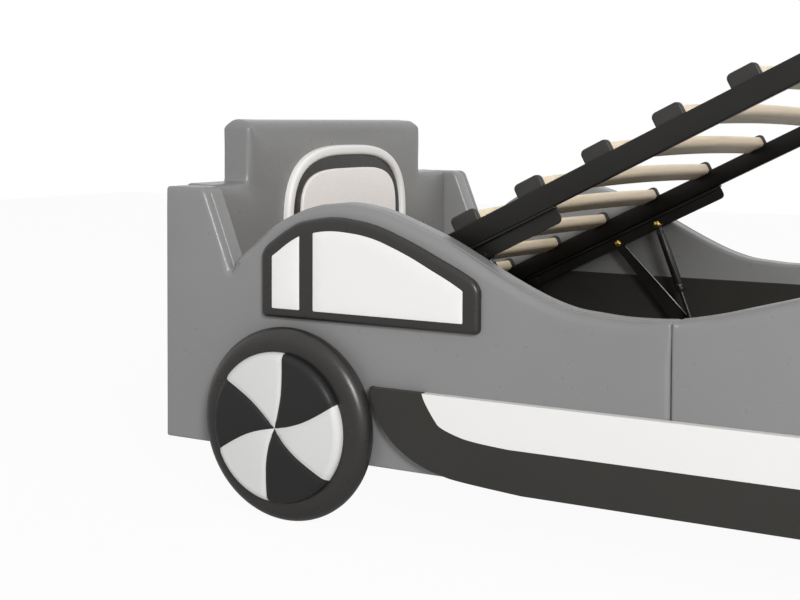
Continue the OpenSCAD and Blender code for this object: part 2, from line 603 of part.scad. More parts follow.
// lift frame, drawn level in its own frame: u along the rail from the arm's bolt, top of the rail at bolt_drop
module raised() translate([arm_p[0], 0, arm_p[1]]) rotate([0, -lift_deg, 0]) children();
u_rear = -bolt_u;
u_front = frame_l - bolt_u;
module rail() color(steel) raised() translate([u_rear, -y_frame, bolt_drop - rail_h]) difference() {
    cube([frame_l, rail_t, rail_h]);
    translate([-over, tube_wall, tube_wall])
        cube([frame_l + 2 * over, rail_t - 2 * tube_wall, rail_h - 2 * tube_wall]);
}
module rail_near() rail();
module rail_far() far_side() rail();
cross_t = 0.75 * rail_h;
cross_in = y_frame - rail_t;
module cross_tube(u) color(steel) raised()
    translate([u, -cross_in, bolt_drop - rail_h]) difference() {
        cube([cross_t, 2 * cross_in, cross_t]);
        translate([tube_wall, -over, tube_wall])
            cube([cross_t - 2 * tube_wall, 2 * cross_in + 2 * over, cross_t - 2 * tube_wall]);
    }
module cross_rear() cross_tube(u_rear);
module cross_front() cross_tube(u_front - cross_t);
cap_wall = 4; // wall of a slat holder
socket_l = 22; // length of its socket
cap_up = 1.2; // holder above the slat
cap_r = slat_t / 3;
hook_w = 0.8 * rail_t; // holder over the rail
slat_half = y_frame - rail_t - cap_wall - 3 * over;
function slat_u(i) = u_rear + slat_first + i * slat_pitch;
// slat seen along the rail: flat at its ends, bowed up between them
flat_half = slat_half - socket_l;
bow_k = 12;
function slat_line(z) = [for (i = [-bow_k : bow_k]) let(s = i / bow_k)
    [flat_half * s, z + slat_bow * (1 - s * s)]];
slat_low = bolt_drop + slat_up - slat_t;
module slats() color(beech) raised() for (i = [0 : slat_n - 1])
    translate([slat_u(i) - slat_w / 2, 0, slat_low]) rotate([90, 0, 90]) linear_extrude(slat_w)
        polygon(concat([[-slat_half, 0]], slat_line(0), [[slat_half, 0], [slat_half, slat_t]],
            back(slat_line(slat_t)), [[-slat_half, slat_t]]));
// rounded plate with its middle at the origin, across the rail
module cap_shape(h) polygon([for (q = [[1, 1, 0], [-1, 1, 90], [-1, -1, 180], [1, -1, 270]])
    for (a = [0 : 45 : 90]) [q[0] * (cap_l / 2 - cap_r) + cap_r * cos(q[2] + a),
        q[1] * (h / 2 - cap_r) + cap_r * sin(q[2] + a)]]);
module slat_cap() {
    translate([0, slat_half + cap_wall, slat_low + slat_t / 2]) rotate([90, 0, 0]) difference() {
        linear_extrude(socket_l) cap_shape(slat_t + 2 * cap_up);
        translate([-slat_w / 2, -slat_t / 2, cap_wall]) cube([slat_w, slat_t, socket_l]);
    }
    translate([0, slat_half + cap_wall + hook_w + 3 * over, bolt_drop + (slat_up + cap_up) / 2])
        rotate([90, 0, 0]) linear_extrude(hook_w + 3 * over) cap_shape(slat_up + cap_up);
}
module slat_caps() color(steel) raised() for (i = [0 : slat_n - 1]) for (s = [0, 1])
    translate([slat_u(i), 0, 0]) mirror([0, s, 0]) slat_cap();

// upper bar of the mechanism: an angle under the rail
module mech_bar() color(steel) raised() {
    translate([0, -y_bar_in, bolt_drop - rail_h]) rotate([90, 0, 0]) linear_extrude(plate_t)
        polygon(concat([[-bar_rear, 0], [-bar_rear, -bar_h]],
            [for (a = [-90 : 30 : 0]) [bar_front - bar_h / 3, -bar_h * 2 / 3] + bar_h / 3 * dir(a)],
            [[bar_front, 0]]));
    translate([-bar_rear, -y_frame, bolt_drop - rail_h - plate_t])
        cube([bar_rear + bar_front, y_frame - y_bar, plate_t]);
}
module mech_bar_near() mech_bar();
module mech_bar_far() far_side() mech_bar();

// a pivot bolt along y at -y side: shank from y1 in to y2, round head inside y2
module disc(y1, y2, d) translate([0, -y2, 0]) rotate([90, 0, 0]) cylinder(h = y1 - y2, d = d);
module dome(y, d, h) translate([0, -y, 0]) rotate([-90, 0, 0]) rotate_extrude($fn = 36) polygon(concat([[0, 0]],
    [for (a = [0 : 22.5 : 90]) [d / 2 * cos(a), h * sin(a)]]));
module frame_bolt_set() {
    disc(y_bar_in, y_arm_in - side_gap, bolt_d);
    dome(y_arm_in - side_gap, head_d, head_h2);
    disc(y_bar + head_h2, y_bar, head_d);
    translate([bolt_gap, 0, 0]) {
        disc(y_bar_in, y_eye + side_gap, 1.4 * bolt_d);
        disc(y_eye + side_gap, y_eye_in - side_gap, bolt_d);
        dome(y_eye_in - side_gap, head_d, head_h2);
        disc(y_bar + head_h2, y_bar, head_d);
    }
    translate([-link_u, 0, 0]) disc(y_bar + head_h2, y_bar, head_d);
}
module frame_bolts() color(brass) for (s = [0, 1]) mirror([0, s, 0]) raised() frame_bolt_set();

// arms and links: tapered plates between two pivots, drawn from a to b
module at_p(p) translate([p[0], 0, p[1]]) children();
function taper(l, r1, r2) = let(t = asin((r1 - r2) / l)) concat(
    [for (i = [0 : 8]) r1 * dir(90 - t + (180 + 2 * t) * i / 8)],
    [for (i = [0 : 8]) [l, 0] + r2 * dir(-90 + t + (180 - 2 * t) * i / 8)]);
module plate(l, r1, r2, t) linear_extrude(t) polygon(taper(l, r1, r2));
module hole(x, d, t) translate([x, 0, -over]) cylinder(h = t + 2 * over, d = d);
arm_t = y_arm - y_arm_in;
arm_tip_r = bolt_d;
flange_h = 1.3 * arm_t; // folded front edge of the arm
module lift_arm() color(steel) at_p(base_p) rotate([0, -arm_open_deg, 0]) translate([0, -y_arm_in, 0])
    rotate([90, 0, 0]) difference() {
        union() {
            plate(arm_l, arm_w / 2, arm_tip_r, arm_t);
            translate([arm_w / 2, -arm_w / 2 + arm_t / 4, 0]) rotate([0, 0, asin((arm_w / 2 - arm_tip_r) / arm_l)])
                translate([0, 0, -flange_h + arm_t]) cube([arm_l - 2 * arm_w, arm_t / 2, flange_h]);
        }
        hole(0, bolt_d + 2 * fit, arm_t);
        hole(arm_l, bolt_d + 2 * fit, arm_t);
    }
module arm_near() lift_arm();
module arm_far() far_side() lift_arm();
link_r = 0.25 * arm_w;
module rear_link() color(steel) at_p(link_base_p) rotate([0, -link_deg, 0]) translate([0, -y_arm_in, 0])
    rotate([90, 0, 0]) {
        difference() {
            plate(link_l, link_r, link_r, arm_t);
            hole(0, bolt_d + 2 * fit, arm_t);
        }
        translate([link_l, 0, -head_h2]) cylinder(h = head_h2, d = head_d);
    }
module link_near() rear_link();
module link_far() far_side() rear_link();

// gas strut: cylinder hangs on the frame, rod slides in it
bore_d = rod_d + 2 * fit;
bore_l = cyl_l - 2 * eye_r;
rod_in = 0.05 * cyl_l; // rod inside the cylinder when raised
module along(p, a) at_p(p) rotate([0, a, 0]) rotate([0, 90, 0]) children();
y_strut = (y_eye + y_eye_in) / 2;
module eye(x) translate([x, -y_eye_in, 0]) rotate([90, 0, 0]) cylinder(h = eye_t, r = eye_r);
module strut_cyl() color(steel) at_p(strut_p) rotate([0, strut_deg, 0]) difference() {
    union() {
        eye(0);
        translate([eye_r / 2, -y_strut, 0]) rotate([0, 90, 0]) cylinder(h = 1.2 * eye_r, d = 0.6 * cyl_d);
        translate([1.4 * eye_r, -y_strut, 0]) rotate([0, 90, 0]) cylinder(h = cyl_l - 1.4 * eye_r, d = cyl_d);
    }
    translate([0, -y_eye_in + over, 0]) rotate([90, 0, 0]) cylinder(h = eye_t + 2 * over, d = bolt_d + 2 * fit);
    translate([cyl_l - bore_l, -y_strut, 0]) rotate([0, 90, 0]) cylinder(h = bore_l + over, d = bore_d);
}
module strut_cyl_near() strut_cyl();
module strut_cyl_far() far_side() strut_cyl();
module strut_rod() color(steel) at_p(strut_p) rotate([0, strut_deg, 0]) union() {
    translate([cyl_l - rod_in, -y_strut, 0]) rotate([0, 90, 0])
        cylinder(h = strut_l - cyl_l + rod_in - eye_r / 2, d = rod_d);
    translate([strut_l - 2 * eye_r, -y_strut, 0]) rotate([0, 90, 0]) cylinder(h = 1.5 * eye_r, d = 0.98 * eye_t);
    eye(strut_l);
    translate([strut_l, 0, 0]) dome(y_eye_in, head_d, head_h2);
}
module strut_rod_near() strut_rod();
module strut_rod_far() far_side() strut_rod();

// base of the mechanism: an angle on the floor board with ears for the pivots
ear_r = 1.6 * bolt_d;
base_h = 0.5 * arm_w + 2 * plate_t;
base_x1 = link_base_p[0] - 2 * ear_r;
base_x2 = strut_base_p[0] + 2 * ear_r;
strut_ear_y = y_eye + side_gap; // inner face of the strut's ear
module ear(p) translate([p[0], floor_top, 0]) linear_extrude(plate_t) polygon(concat(
    [for (i = [0 : 8]) [0, p[1] - floor_top] + ear_r * dir(180 * i / 8)],
    [[-ear_r - base_h / 2, 0], [ear_r + base_h / 2, 0]]));
module mech_base() color(steel) {
    // web on the lining with two ears
    translate([0, -y_line + plate_t, 0]) rotate([90, 0, 0]) union() {
        translate([base_x1, floor_top, 0]) cube([base_x2 - base_x1, base_h, plate_t]);
        ear(link_base_p);
        ear(base_p);
    }
    // foot on the floor board
    box(base_x1, base_x2, -y_line + plate_t, -strut_ear_y, floor_top, floor_top + plate_t);
    // ear for the strut
    translate([0, -strut_ear_y, 0]) rotate([90, 0, 0]) translate([strut_base_p[0], floor_top, 0])
        linear_extrude(plate_t) polygon(concat(
            [for (i = [0 : 8]) [0, strut_base_p[1] - floor_top] + eye_r * 1.3 * dir(180 * i / 8)],
            [[-2 * eye_r, 0], [2 * eye_r, 0]]));
}
module mech_base_near() mech_base();
module mech_base_far() far_side() mech_base();
module base_pin() {
    disc(y_line - plate_t, y_arm + side_gap, 1.6 * bolt_d);
    disc(y_arm + side_gap, y_arm_in - side_gap, bolt_d);
    dome(y_arm_in - side_gap, head_d, head_h2);
}
module base_bolts() color(brass) for (s = [0, 1]) mirror([0, s, 0]) {
    at_p(base_p) base_pin();
    at_p(link_base_p) base_pin();
    at_p(strut_base_p) disc(strut_ear_y + plate_t + head_h2 / 2, strut_ear_y + plate_t, head_d);
}
// two steel angles on the footboard, under the front of the lowered frame
rest_w = 80;
module frame_rests() color(steel) for (s = [0, 1]) mirror([0, s, 0])
    translate([x_foot, y_frame / 2, deck_z - rail_h - over]) {
        translate([-1.5 * rail_h, 0, -plate_t]) cube([1.5 * rail_h, rest_w, plate_t]);
        translate([-plate_t, 0, -rail_h]) cube([plate_t, rest_w, rail_h - plate_t]);
    }
// steel angles that hold the end boards to the side linings
bracket_l = 60;
module corner_brackets() color(steel) for (s = [0, 1]) mirror([0, s, 0])
    for (q = [[x_head, 1], [x_foot, -1]]) for (z = [floor_top + bracket_l / 3, floor_top + 5 * bracket_l / 3])
        translate([q[0], -y_line, z]) scale([q[1], 1, 1]) {
            cube([bracket_l / 2, plate_t, bracket_l / 2]);
            translate([0, plate_t, 0]) cube([plate_t, bracket_l / 2 - plate_t, bracket_l / 2]);
        }

side_rear_near();
side_rear_far();
side_front_near();
side_front_far();
headboard();
footboard();
emblem_ring();
emblem_band();
emblem_glass();
headlight_near();
headlight_far();
grille();
window_near();
window_far();
panes_near();
panes_far();
skirt_near();
skirt_far();
skirt_inset_near();
skirt_inset_far();
bumper();
bumper_inset();
tyre_rear_near();
tyre_rear_far();
tyre_front_near();
tyre_front_far();
hub_rear_near();
hub_rear_far();
hub_front_near();
hub_front_far();
hub_sectors();
lining_near();
lining_far();
floor_rear();
floor_front();
centre_beam();
legs();
mech_base_near();
mech_base_far();
base_bolts();
corner_brackets();
frame_rests();
rail_near();
rail_far();
cross_rear();
cross_front();
slats();
slat_caps();
mech_bar_near();
mech_bar_far();
frame_bolts();
arm_near();
arm_far();
link_near();
link_far();
strut_cyl_near();
strut_cyl_far();
strut_rod_near();
strut_rod_far();
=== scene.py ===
# Children's car bed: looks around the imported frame. Metres, +X car front, -Y photographed side.
import json
import math

import bmesh
import bpy
import numpy as np
from mathutils import Matrix, Vector
from mathutils.geometry import delaunay_2d_cdt

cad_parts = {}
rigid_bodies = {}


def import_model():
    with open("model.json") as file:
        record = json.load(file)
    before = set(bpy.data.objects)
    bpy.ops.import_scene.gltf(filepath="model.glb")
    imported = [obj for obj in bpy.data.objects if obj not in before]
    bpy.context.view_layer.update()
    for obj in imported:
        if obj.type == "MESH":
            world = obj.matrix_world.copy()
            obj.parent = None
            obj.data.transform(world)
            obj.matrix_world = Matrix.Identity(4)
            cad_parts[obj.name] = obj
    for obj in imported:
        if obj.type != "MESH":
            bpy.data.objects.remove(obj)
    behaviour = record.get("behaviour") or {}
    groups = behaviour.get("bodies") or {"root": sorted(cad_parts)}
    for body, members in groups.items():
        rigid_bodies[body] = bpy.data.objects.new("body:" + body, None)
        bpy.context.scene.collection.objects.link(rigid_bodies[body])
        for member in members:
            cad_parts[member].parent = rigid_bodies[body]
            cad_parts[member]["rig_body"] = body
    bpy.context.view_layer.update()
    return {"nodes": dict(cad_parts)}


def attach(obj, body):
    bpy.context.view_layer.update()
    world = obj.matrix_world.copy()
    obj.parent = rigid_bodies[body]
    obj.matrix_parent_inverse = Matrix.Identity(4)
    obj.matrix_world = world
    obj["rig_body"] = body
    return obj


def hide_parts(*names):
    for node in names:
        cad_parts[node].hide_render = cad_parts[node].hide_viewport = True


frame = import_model()

# sizes, millimetres, as in the CAD
body_l, body_w, panel_t, body_z = 2030.0, 1160.0, 64.0, 120.0
post_h, post_w, door_h, roof_h, fender_h = 614.0, 87.0, 418.0, 591.0, 512.0
head_t, head_h, block_w, nose_h = 62.0, 746.0, 748.0, 424.0
bumper_t, head_proud = 20.0, 3.0
x_rear = -(body_l + bumper_t + head_proud) / 2 + head_proud
x_front = x_rear + body_l
x_seam = x_rear + body_l / 2 - 4.0  # where the covers of both halves meet
x_head = x_rear - head_proud + head_t
x_foot = x_front - head_t
y_out = body_w / 2
y_in = y_out - panel_t
half_l = body_l / 2
roof_rise = roof_h - door_h
fender_rise = fender_h - door_h
wheel_r, tyre_w, hub_r = 180.0, 46.0, 138.0
x_w1, x_w2 = x_rear + 298, x_front - 298
skin_t = 22.0  # outer padded layer, with the seam behind it
swell = 2.5  # the padding stands this far outside the board at the ends, top and bottom
RAD = math.pi / 180
ROOT, LIFT = "bed_body", "lift_frame"
SIDES = ((-1, "near"), (1, "far"))  # sign of Y, and the name


def srgb(r, g, b):
    def lin(c):
        c /= 255.0
        return c / 12.92 if c <= 0.04045 else ((c + 0.055) / 1.055) ** 2.4

    return (lin(r), lin(g), lin(b), 1.0)


# materials
class Nodes:
    """Short hand for the node tree of a material or of the world."""

    def __init__(self, owner, kind="Material"):
        owner.use_nodes = True
        self.owner, self.tree = owner, owner.node_tree
        self.tree.nodes.clear()
        self.out = self.add("ShaderNodeOutput" + kind)

    def add(self, kind, **values):
        n = self.tree.nodes.new(kind)
        for k, v in values.items():
            if k in n.inputs:
                n.inputs[k].default_value = v
            else:
                setattr(n, k, v)
        return n

    def link(self, a, ao, b, bi):
        self.tree.links.new(a.outputs[ao], b.inputs[bi])

    def mapping(self, scale):
        m = self.add("ShaderNodeMapping", Scale=scale)
        self.link(self.coord, "Object", m, "Vector")
        return m

    def noise(self, scale, detail, rough, vec=None):
        n = self.add("ShaderNodeTexNoise", Scale=scale, Detail=detail, Roughness=rough)
        self.link(vec or self.coord, "Vector" if vec else "Object", n, "Vector")
        return n

    def ramp(self, src, out, stops):
        r = self.add("ShaderNodeValToRGB")
        r.color_ramp.elements[0].position = stops[0][0]
        r.color_ramp.elements[0].color = stops[0][1]
        r.color_ramp.elements[1].position = stops[-1][0]
        r.color_ramp.elements[1].color = stops[-1][1]
        for pos, col in stops[1:-1]:
            e = r.color_ramp.elements.new(pos)
            e.color = col
        self.link(src, out, r, "Fac")
        return r

    def span(self, src, out, lo, hi, a, b):
        m = self.add("ShaderNodeMapRange")
        for k, v in (("From Min", lo), ("From Max", hi), ("To Min", a), ("To Max", b)):
            m.inputs[k].default_value = v
        self.link(src, out, m, "Value")
        return m

    def bump(self, src, out, strength, distance, under=None):
        b = self.add("ShaderNodeBump", Strength=strength, Distance=distance)
        self.link(src, out, b, "Height")
        if under is not None:
            self.link(under, "Normal", b, "Normal")
        return b

    def blend(self, kind, fac, a, ao, b, bo):
        m = self.add("ShaderNodeMixRGB", Fac=fac, blend_type=kind)
        self.link(a, ao, m, "Color1")
        self.link(b, bo, m, "Color2")
        return m

    def rough(self, noise, lo, hi):
        """Roughness from lo to hi over a noise."""
        self.link(self.span(noise, "Fac", 0.3, 0.7, lo, hi), "Result", self.bsdf, "Roughness")

    def tint(self, noise, a, b):
        """Base colour from a to b over a noise."""
        self.link(self.ramp(noise, "Fac", [(0.3, a), (0.7, b)]), "Color", self.bsdf, "Base Color")

    def done(self, bump):
        self.link(bump, "Normal", self.bsdf, "Normal")
        return self.owner


def paint(name, gloss=0.5, metallic=0.0):
    """Tree of a new material with a principled shader."""
    n = Nodes(bpy.data.materials.new(name))
    n.coord = n.add("ShaderNodeTexCoord")
    n.bsdf = n.add("ShaderNodeBsdfPrincipled", Metallic=metallic)
    n.bsdf.inputs["Specular IOR Level"].default_value = gloss
    n.link(n.bsdf, "BSDF", n.out, "Surface")
    return n


def tone(c, k):
    return (min(1, c[0] * k), min(1, c[1] * k), min(1, c[2] * k), 1.0)


def leather(name, col, rough=0.31, vary=0.05, gloss=0.48):
    n = paint(name, gloss)
    grain = 620.0  # creased cells per metre
    patches = n.ramp(
        n.noise(2.3, 3.0, 0.55), "Fac", [(0.30, tone(col, 1 - vary)), (0.70, tone(col, 1 + vary))]
    )
    warp = n.noise(grain * 0.35, 2.0, 0.6)
    place = n.blend("LINEAR_LIGHT", 0.0035, n.coord, "Object", warp, "Color")
    cells = n.add("ShaderNodeTexVoronoi", Scale=grain, feature="DISTANCE_TO_EDGE")
    n.link(place, "Color", cells, "Vector")
    crease = n.span(cells, "Distance", 0.0, 0.16, 0.0, 1.0)
    # the grain's creases are darkened a little: painted shade in the creases, besides their bump
    n.link(n.blend("MULTIPLY", 0.06, patches, "Color", crease, "Result"), "Color", n.bsdf, "Base Color")
    n.rough(n.noise(46.0, 3.0, 0.6), rough - 0.04, rough + 0.06)
    soft = n.bump(n.noise(11.0, 3.0, 0.55), "Fac", 0.30, 0.0014)
    return n.done(n.bump(crease, "Result", 0.10, 0.00022, soft))


def lacquer(name, col, rough, vary, gloss=0.35):
    n = paint(name, gloss)
    n.tint(n.noise(5.0, 3.0, 0.6), tone(col, 1 - vary), tone(col, 1 + vary))
    peel = n.noise(420.0, 2.0, 0.5)
    n.rough(peel, rough - 0.03, rough + 0.05)
    return n.done(n.bump(peel, "Fac", 0.04, 0.0003))


def powder(name, col, rough, gloss):
    n = paint(name, gloss)
    n.tint(n.noise(9.0, 3.0, 0.6), tone(col, 0.9), tone(col, 1.12))
    n.rough(n.noise(14.0, 4.0, 0.6), rough - 0.06, rough + 0.1)
    return n.done(n.bump(n.noise(900.0, 2.0, 0.55), "Fac", 0.22, 0.00025))


def wood(name, light, dark, along):
    """Wood with its grain along the axis marked 1."""
    n = paint(name)
    m = n.mapping([1.6 if a else 36.0 for a in along])
    warp = n.noise(0.8, 3.0, 0.5, m)
    rings = n.noise(2.6, 7.0, 0.62, m)
    grain = n.ramp(rings, "Fac", [(0.28, dark), (0.47, light), (0.60, tone(light, 1.05)), (0.78, dark)])
    fleck = n.noise(1.0, 2.0, 0.6, n.mapping([45.0 if a else 900.0 for a in along]))
    spots = n.ramp(fleck, "Fac", [(0.56, (1, 1, 1, 1)), (0.72, (0.80, 0.74, 0.66, 1))])
    mixed = n.blend("MULTIPLY", 0.55, grain, "Color", spots, "Color")
    n.link(n.blend("SOFT_LIGHT", 0.25, mixed, "Color", warp, "Fac"), "Color", n.bsdf, "Base Color")
    n.rough(rings, 0.40, 0.52)
    return n.done(n.bump(fleck, "Fac", 0.12, 0.0002, n.bump(rings, "Fac", 0.15, 0.0004)))


def metal(name, col, rough):
    n = paint(name, metallic=1.0)
    n.tint(n.noise(40.0, 3.0, 0.6), tone(col, 0.85), tone(col, 1.0))
    fine = n.noise(700.0, 2.0, 0.5)
    n.rough(fine, rough - 0.03, rough + 0.05)
    return n.done(n.bump(fine, "Fac", 0.08, 0.0001))


M_GREY = leather("leather_grey", srgb(134, 134, 134))
# darker copy of the grey leather for the headboard: painted shade on its face
M_GREY_PAINTED_SHADE = leather("leather_grey_painted_shade", srgb(129, 129, 129))  # headboard
# lighter copy of the grey leather for the inner face of the far side: painted light on that face
M_GREY_PAINTED_LIGHT = leather("leather_grey_painted_light", srgb(145, 145, 145))  # inner face of the far side
M_BLACK = leather("leather_black", srgb(41, 39, 37), 0.30, 0.05, 0.46)
M_HUBD = leather("leather_hub_dark", srgb(36, 36, 36), 0.44, 0.05, 0.22)
M_WHITE = leather("leather_white", srgb(216, 216, 214), 0.44, 0.012, 0.30)
M_PIPE = leather("leather_piping", srgb(248, 247, 245), 0.34, 0.008, 0.36)
M_PANE = lacquer("pane_white", srgb(237, 236, 234), 0.32, 0.006)
M_GLASS = lacquer("pane_pale", srgb(254, 250, 248), 0.24, 0.004, 0.9)
M_BOARDW = lacquer("board_white", srgb(236, 235, 233), 0.30, 0.006)
M_BOARDB = lacquer("board_black", srgb(47, 46, 43), 0.36, 0.04, 0.30)
M_LINING = lacquer("lining_dark", srgb(52, 50, 47), 0.42, 0.08, 0.30)
M_STEEL = powder("steel_black", srgb(28, 27, 25), 0.34, 0.26)
M_PLASTIC = powder("plastic_black", srgb(46, 45, 43), 0.44, 0.32)
M_GLOSS = powder("strut_black", srgb(30, 29, 28), 0.24, 0.44)
# bright metal for the thin tube along the arms' folded front: painted highlight
M_HIGHLIGHT_EDGE = metal("painted_highlight_edge", srgb(190, 190, 190), 0.55)
M_BRASS = metal("brass", srgb(222, 190, 104), 0.24)
M_BEECH = wood("beech_slat", srgb(251, 232, 203), srgb(234, 204, 166), (0, 1, 0))
M_PINE = wood("beam_wood", srgb(222, 196, 156), srgb(188, 156, 112), (1, 0, 0))


# mesh helpers
def add_object(name, data):
    ob = bpy.data.objects.new(name, data)
    bpy.context.scene.collection.objects.link(ob)
    return ob


def make(name, verts, faces, mats, body, face_mats=None, angle=None):
    """New object from millimetres, riding on a body."""
    me = bpy.data.meshes.new(name)
    me.from_pydata([tuple(c * 0.001 for c in v) for v in verts], [], [tuple(f) for f in faces])
    for m in mats if isinstance(mats, list) else [mats]:
        me.materials.append(m)
    if face_mats is not None:
        me.polygons.foreach_set("material_index", face_mats)
    bm = bmesh.new()
    bm.from_mesh(me)
    bmesh.ops.remove_doubles(bm, verts=bm.verts, dist=1e-6)
    bmesh.ops.recalc_face_normals(bm, faces=bm.faces)
    bm.to_mesh(me)
    bm.free()
    me.polygons.foreach_set("use_smooth", [True] * len(me.polygons))
    me.update()
    ob = add_object(name, me)
    if angle is not None:
        sharp(ob, angle)
    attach(ob, body)
    return ob


def stands(node):
    """Hides the CAD node that a piece stands for."""
    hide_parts(node)


def sharp(ob, angle):
    """Marks edges over the angle as sharp, so big flats stay flat."""
    me = ob.data
    bm = bmesh.new()
    bm.from_mesh(me)
    for e in bm.edges:
        if len(e.link_faces) == 2 and e.calc_face_angle(0) > angle * RAD:
            e.smooth = False
    bm.to_mesh(me)
    bm.free()


def weighted(ob):
    m = ob.modifiers.new("weighted", "WEIGHTED_NORMAL")
    m.keep_sharp = True
    m.weight = 60


def catmull(p, k):
    """Smooth line through points, k steps between two of them."""
    p = np.asarray(p, float)
    out = []
    n = len(p)
    for i in range(n - 1):
        a, b, c, d = p[max(0, i - 1)], p[i], p[i + 1], p[min(n - 1, i + 2)]
        for t in (j / k for j in range(k)):
            square, cube = 2 * a - 5 * b + 4 * c - d, 3 * b - a - 3 * c + d
            out.append(0.5 * (2 * b + (c - a) * t + square * t**2 + cube * t**3))
    out.append(p[-1])
    return np.array(out)


def drop(x, a, b, r):
    """How far a line from a to b falls at x, where its ends are rounded by r."""
    d = np.minimum(np.asarray(x, float) - a, b - np.asarray(x, float))
    q = r - np.maximum(0, d)
    return np.where(d >= r, 0.0, r - np.sqrt(np.maximum(0, r * r - q * q)))


def spaced(a, b, ra, rb, step):
    """Places from a to b, dense in the rounded ends of radius ra and rb."""
    th = np.linspace(0, math.pi / 2, 9)
    left = a + ra * (1 - np.cos(th)) if ra else np.array([a])
    right = b - rb * (1 - np.cos(th[::-1])) if rb else np.array([b])
    mid = np.linspace(left[-1], right[0], max(2, int(round((right[0] - left[-1]) / step)) + 1))
    return np.unique(np.round(np.concatenate([left, mid, right]), 5))


def ease(k):
    """Smooth step from 0 to 1."""
    k = np.clip(k, 0, 1)
    return k * k * (3 - 2 * k)


def mitres(p):
    """Inward mitre vector at each point of a closed counter-clockwise outline."""
    e1 = p - np.roll(p, 1, 0)
    e2 = np.roll(p, -1, 0) - p
    e1 /= np.linalg.norm(e1, axis=1)[:, None]
    e2 /= np.linalg.norm(e2, axis=1)[:, None]
    n1, n2 = np.stack([-e1[:, 1], e1[:, 0]], 1), np.stack([-e2[:, 1], e2[:, 0]], 1)
    return (n1 + n2) / (1 + np.sum(n1 * n2, 1))[:, None]


def near_edge(pts, loop):
    """Distance of each point to a closed outline."""
    d = np.roll(loop, -1, 0) - loop
    L2 = np.sum(d * d, 1) + 1e-9
    out = []
    for q in pts:
        v = q - loop
        t = np.clip(np.sum(v * d, 1) / L2, 0, 1)
        out.append(np.sqrt(np.min(np.sum((v - t[:, None] * d) ** 2, 1))))
    return np.array(out)


def strip(a, b, n):
    """Quads between two closed rings of n points, which start at a and b."""
    return [(a + i, a + (i + 1) % n, b + (i + 1) % n, b + i) for i in range(n)]


def loft(rings, caps=True):
    """Skin over rings of points, all with the same count."""
    k = len(rings[0])
    verts = [tuple(p) for r in rings for p in r]
    faces = [f for i in range(len(rings) - 1) for f in strip(i * k, (i + 1) * k, k)]
    if caps:
        faces.append(tuple(range(k)))
        faces.append(tuple((len(rings) - 1) * k + j for j in range(k)))
    return verts, faces


def gather(parts):
    """One mesh from several (verts, faces)."""
    verts, faces = [], []
    for v, f in parts:
        faces += [tuple(k + len(verts) for k in q) for q in f]
        verts += v
    return verts, faces


def rim(loop, t, rf, rb, steps, wide=1.0):
    """Rounded edge of a board: its verts and faces, and the outlines left at the back and the front."""
    n, m = len(loop), mitres(loop)
    th = np.linspace(0, math.pi / 2, steps)
    rings = [(loop + m * (rb * (1 - math.cos(a)))[:, None], rb * (1 - math.sin(a))) for a in th[::-1]]
    rings += [(loop + m * (rf * (1 - math.cos(a)) * wide)[:, None], t - rf * (1 - math.sin(a))) for a in th]
    verts = [q for p, w in rings for q in np.column_stack([p, w])]
    faces = [f for k in range(len(rings) - 1) for f in strip(k * n, (k + 1) * n, n)]
    return verts, faces, rings[0][0], rings[-1][0]


def slab(lo, hi, rf, rb, t, rows=16, crown=0.0, reach=45.0, steps=7):
    """Board between matched lower and upper lines, in (u, v, w): w = 0 back, w = t front.

    rf and rb are edge radii of the front and back, one number or a (lower, upper) pair."""
    n, m = len(lo), rows
    s = np.linspace(0, 1, m + 1)[1:-1]

    def loop(a, b):
        return np.concatenate([a, [a[-1] * (1 - q) + b[-1] * q for q in s], b[::-1],
                               [a[0] * (1 - q) + b[0] * q for q in s[::-1]]])

    def radius(r):
        a, b = r if isinstance(r, tuple) else (r, r)
        return loop(np.full(n, a), np.full(n, b))

    verts, faces, back, front = rim(loop(lo, hi), t, radius(rf), radius(rb), steps)

    def cap(start, p, w, crown, way):
        idx = np.zeros((m + 1, n), int)
        idx[0] = start + np.arange(n)
        idx[1:m, n - 1] = start + n + np.arange(m - 1)
        idx[m] = start + n + (m - 1) + np.arange(n)[::-1]
        idx[1:m, 0] = start + 2 * n + (m - 1) + np.arange(m - 1)[::-1]
        a, b = p[:n], p[n + m - 1: 2 * n + m - 1][::-1]
        for r in range(1, m):
            pts = a * (1 - r / m) + b * (r / m)
            lift = crown * (1 - np.exp(-((near_edge(pts, p) / reach) ** 2)))
            for c in range(1, n - 1):
                idx[r, c] = len(verts)
                verts.append((pts[c, 0], pts[c, 1], w + lift[c]))
        for r in range(m):
            for c in range(n - 1):
                faces.append((idx[r, c], idx[r, c + 1], idx[r + 1, c + 1], idx[r + 1, c])[::way])

    cap(len(verts) - len(front), front, t, crown, 1)
    cap(0, back, 0.0, 0.0, -1)
    return np.array(verts), faces


def on_side(v, base_y, side):
    """(u, v, w) of a slab to the row frame, w rising outwards from base_y. side -1 near, +1 far."""
    return np.stack([v[:, 0], side * (base_y + v[:, 2]), v[:, 1]], 1)


def on_end(v, base_x, way=1):
    """(u, v, w) of a slab across the bed, w rising along way * X from base_x."""
    return np.stack([base_x + way * v[:, 2], v[:, 0], v[:, 1]], 1)


def tube(path, r, seg=8):
    """Round tube of radius r along points (n, 3)."""
    path = np.asarray(path, float)
    tang = np.gradient(path, axis=0)
    tang /= np.linalg.norm(tang, axis=1)[:, None]
    up = np.array([0.0, 0.0, 1.0])
    rings = []
    for p, t in zip(path, tang):
        a = np.cross(t, up)
        a /= np.linalg.norm(a)
        b = np.cross(t, a)
        up = -b if np.dot(-b, up) > 0 else b
        turns = [2 * math.pi * k / seg for k in range(seg)]
        rings.append([p + r * (math.cos(q) * a + math.sin(q) * b) for q in turns])
    return loft(rings)


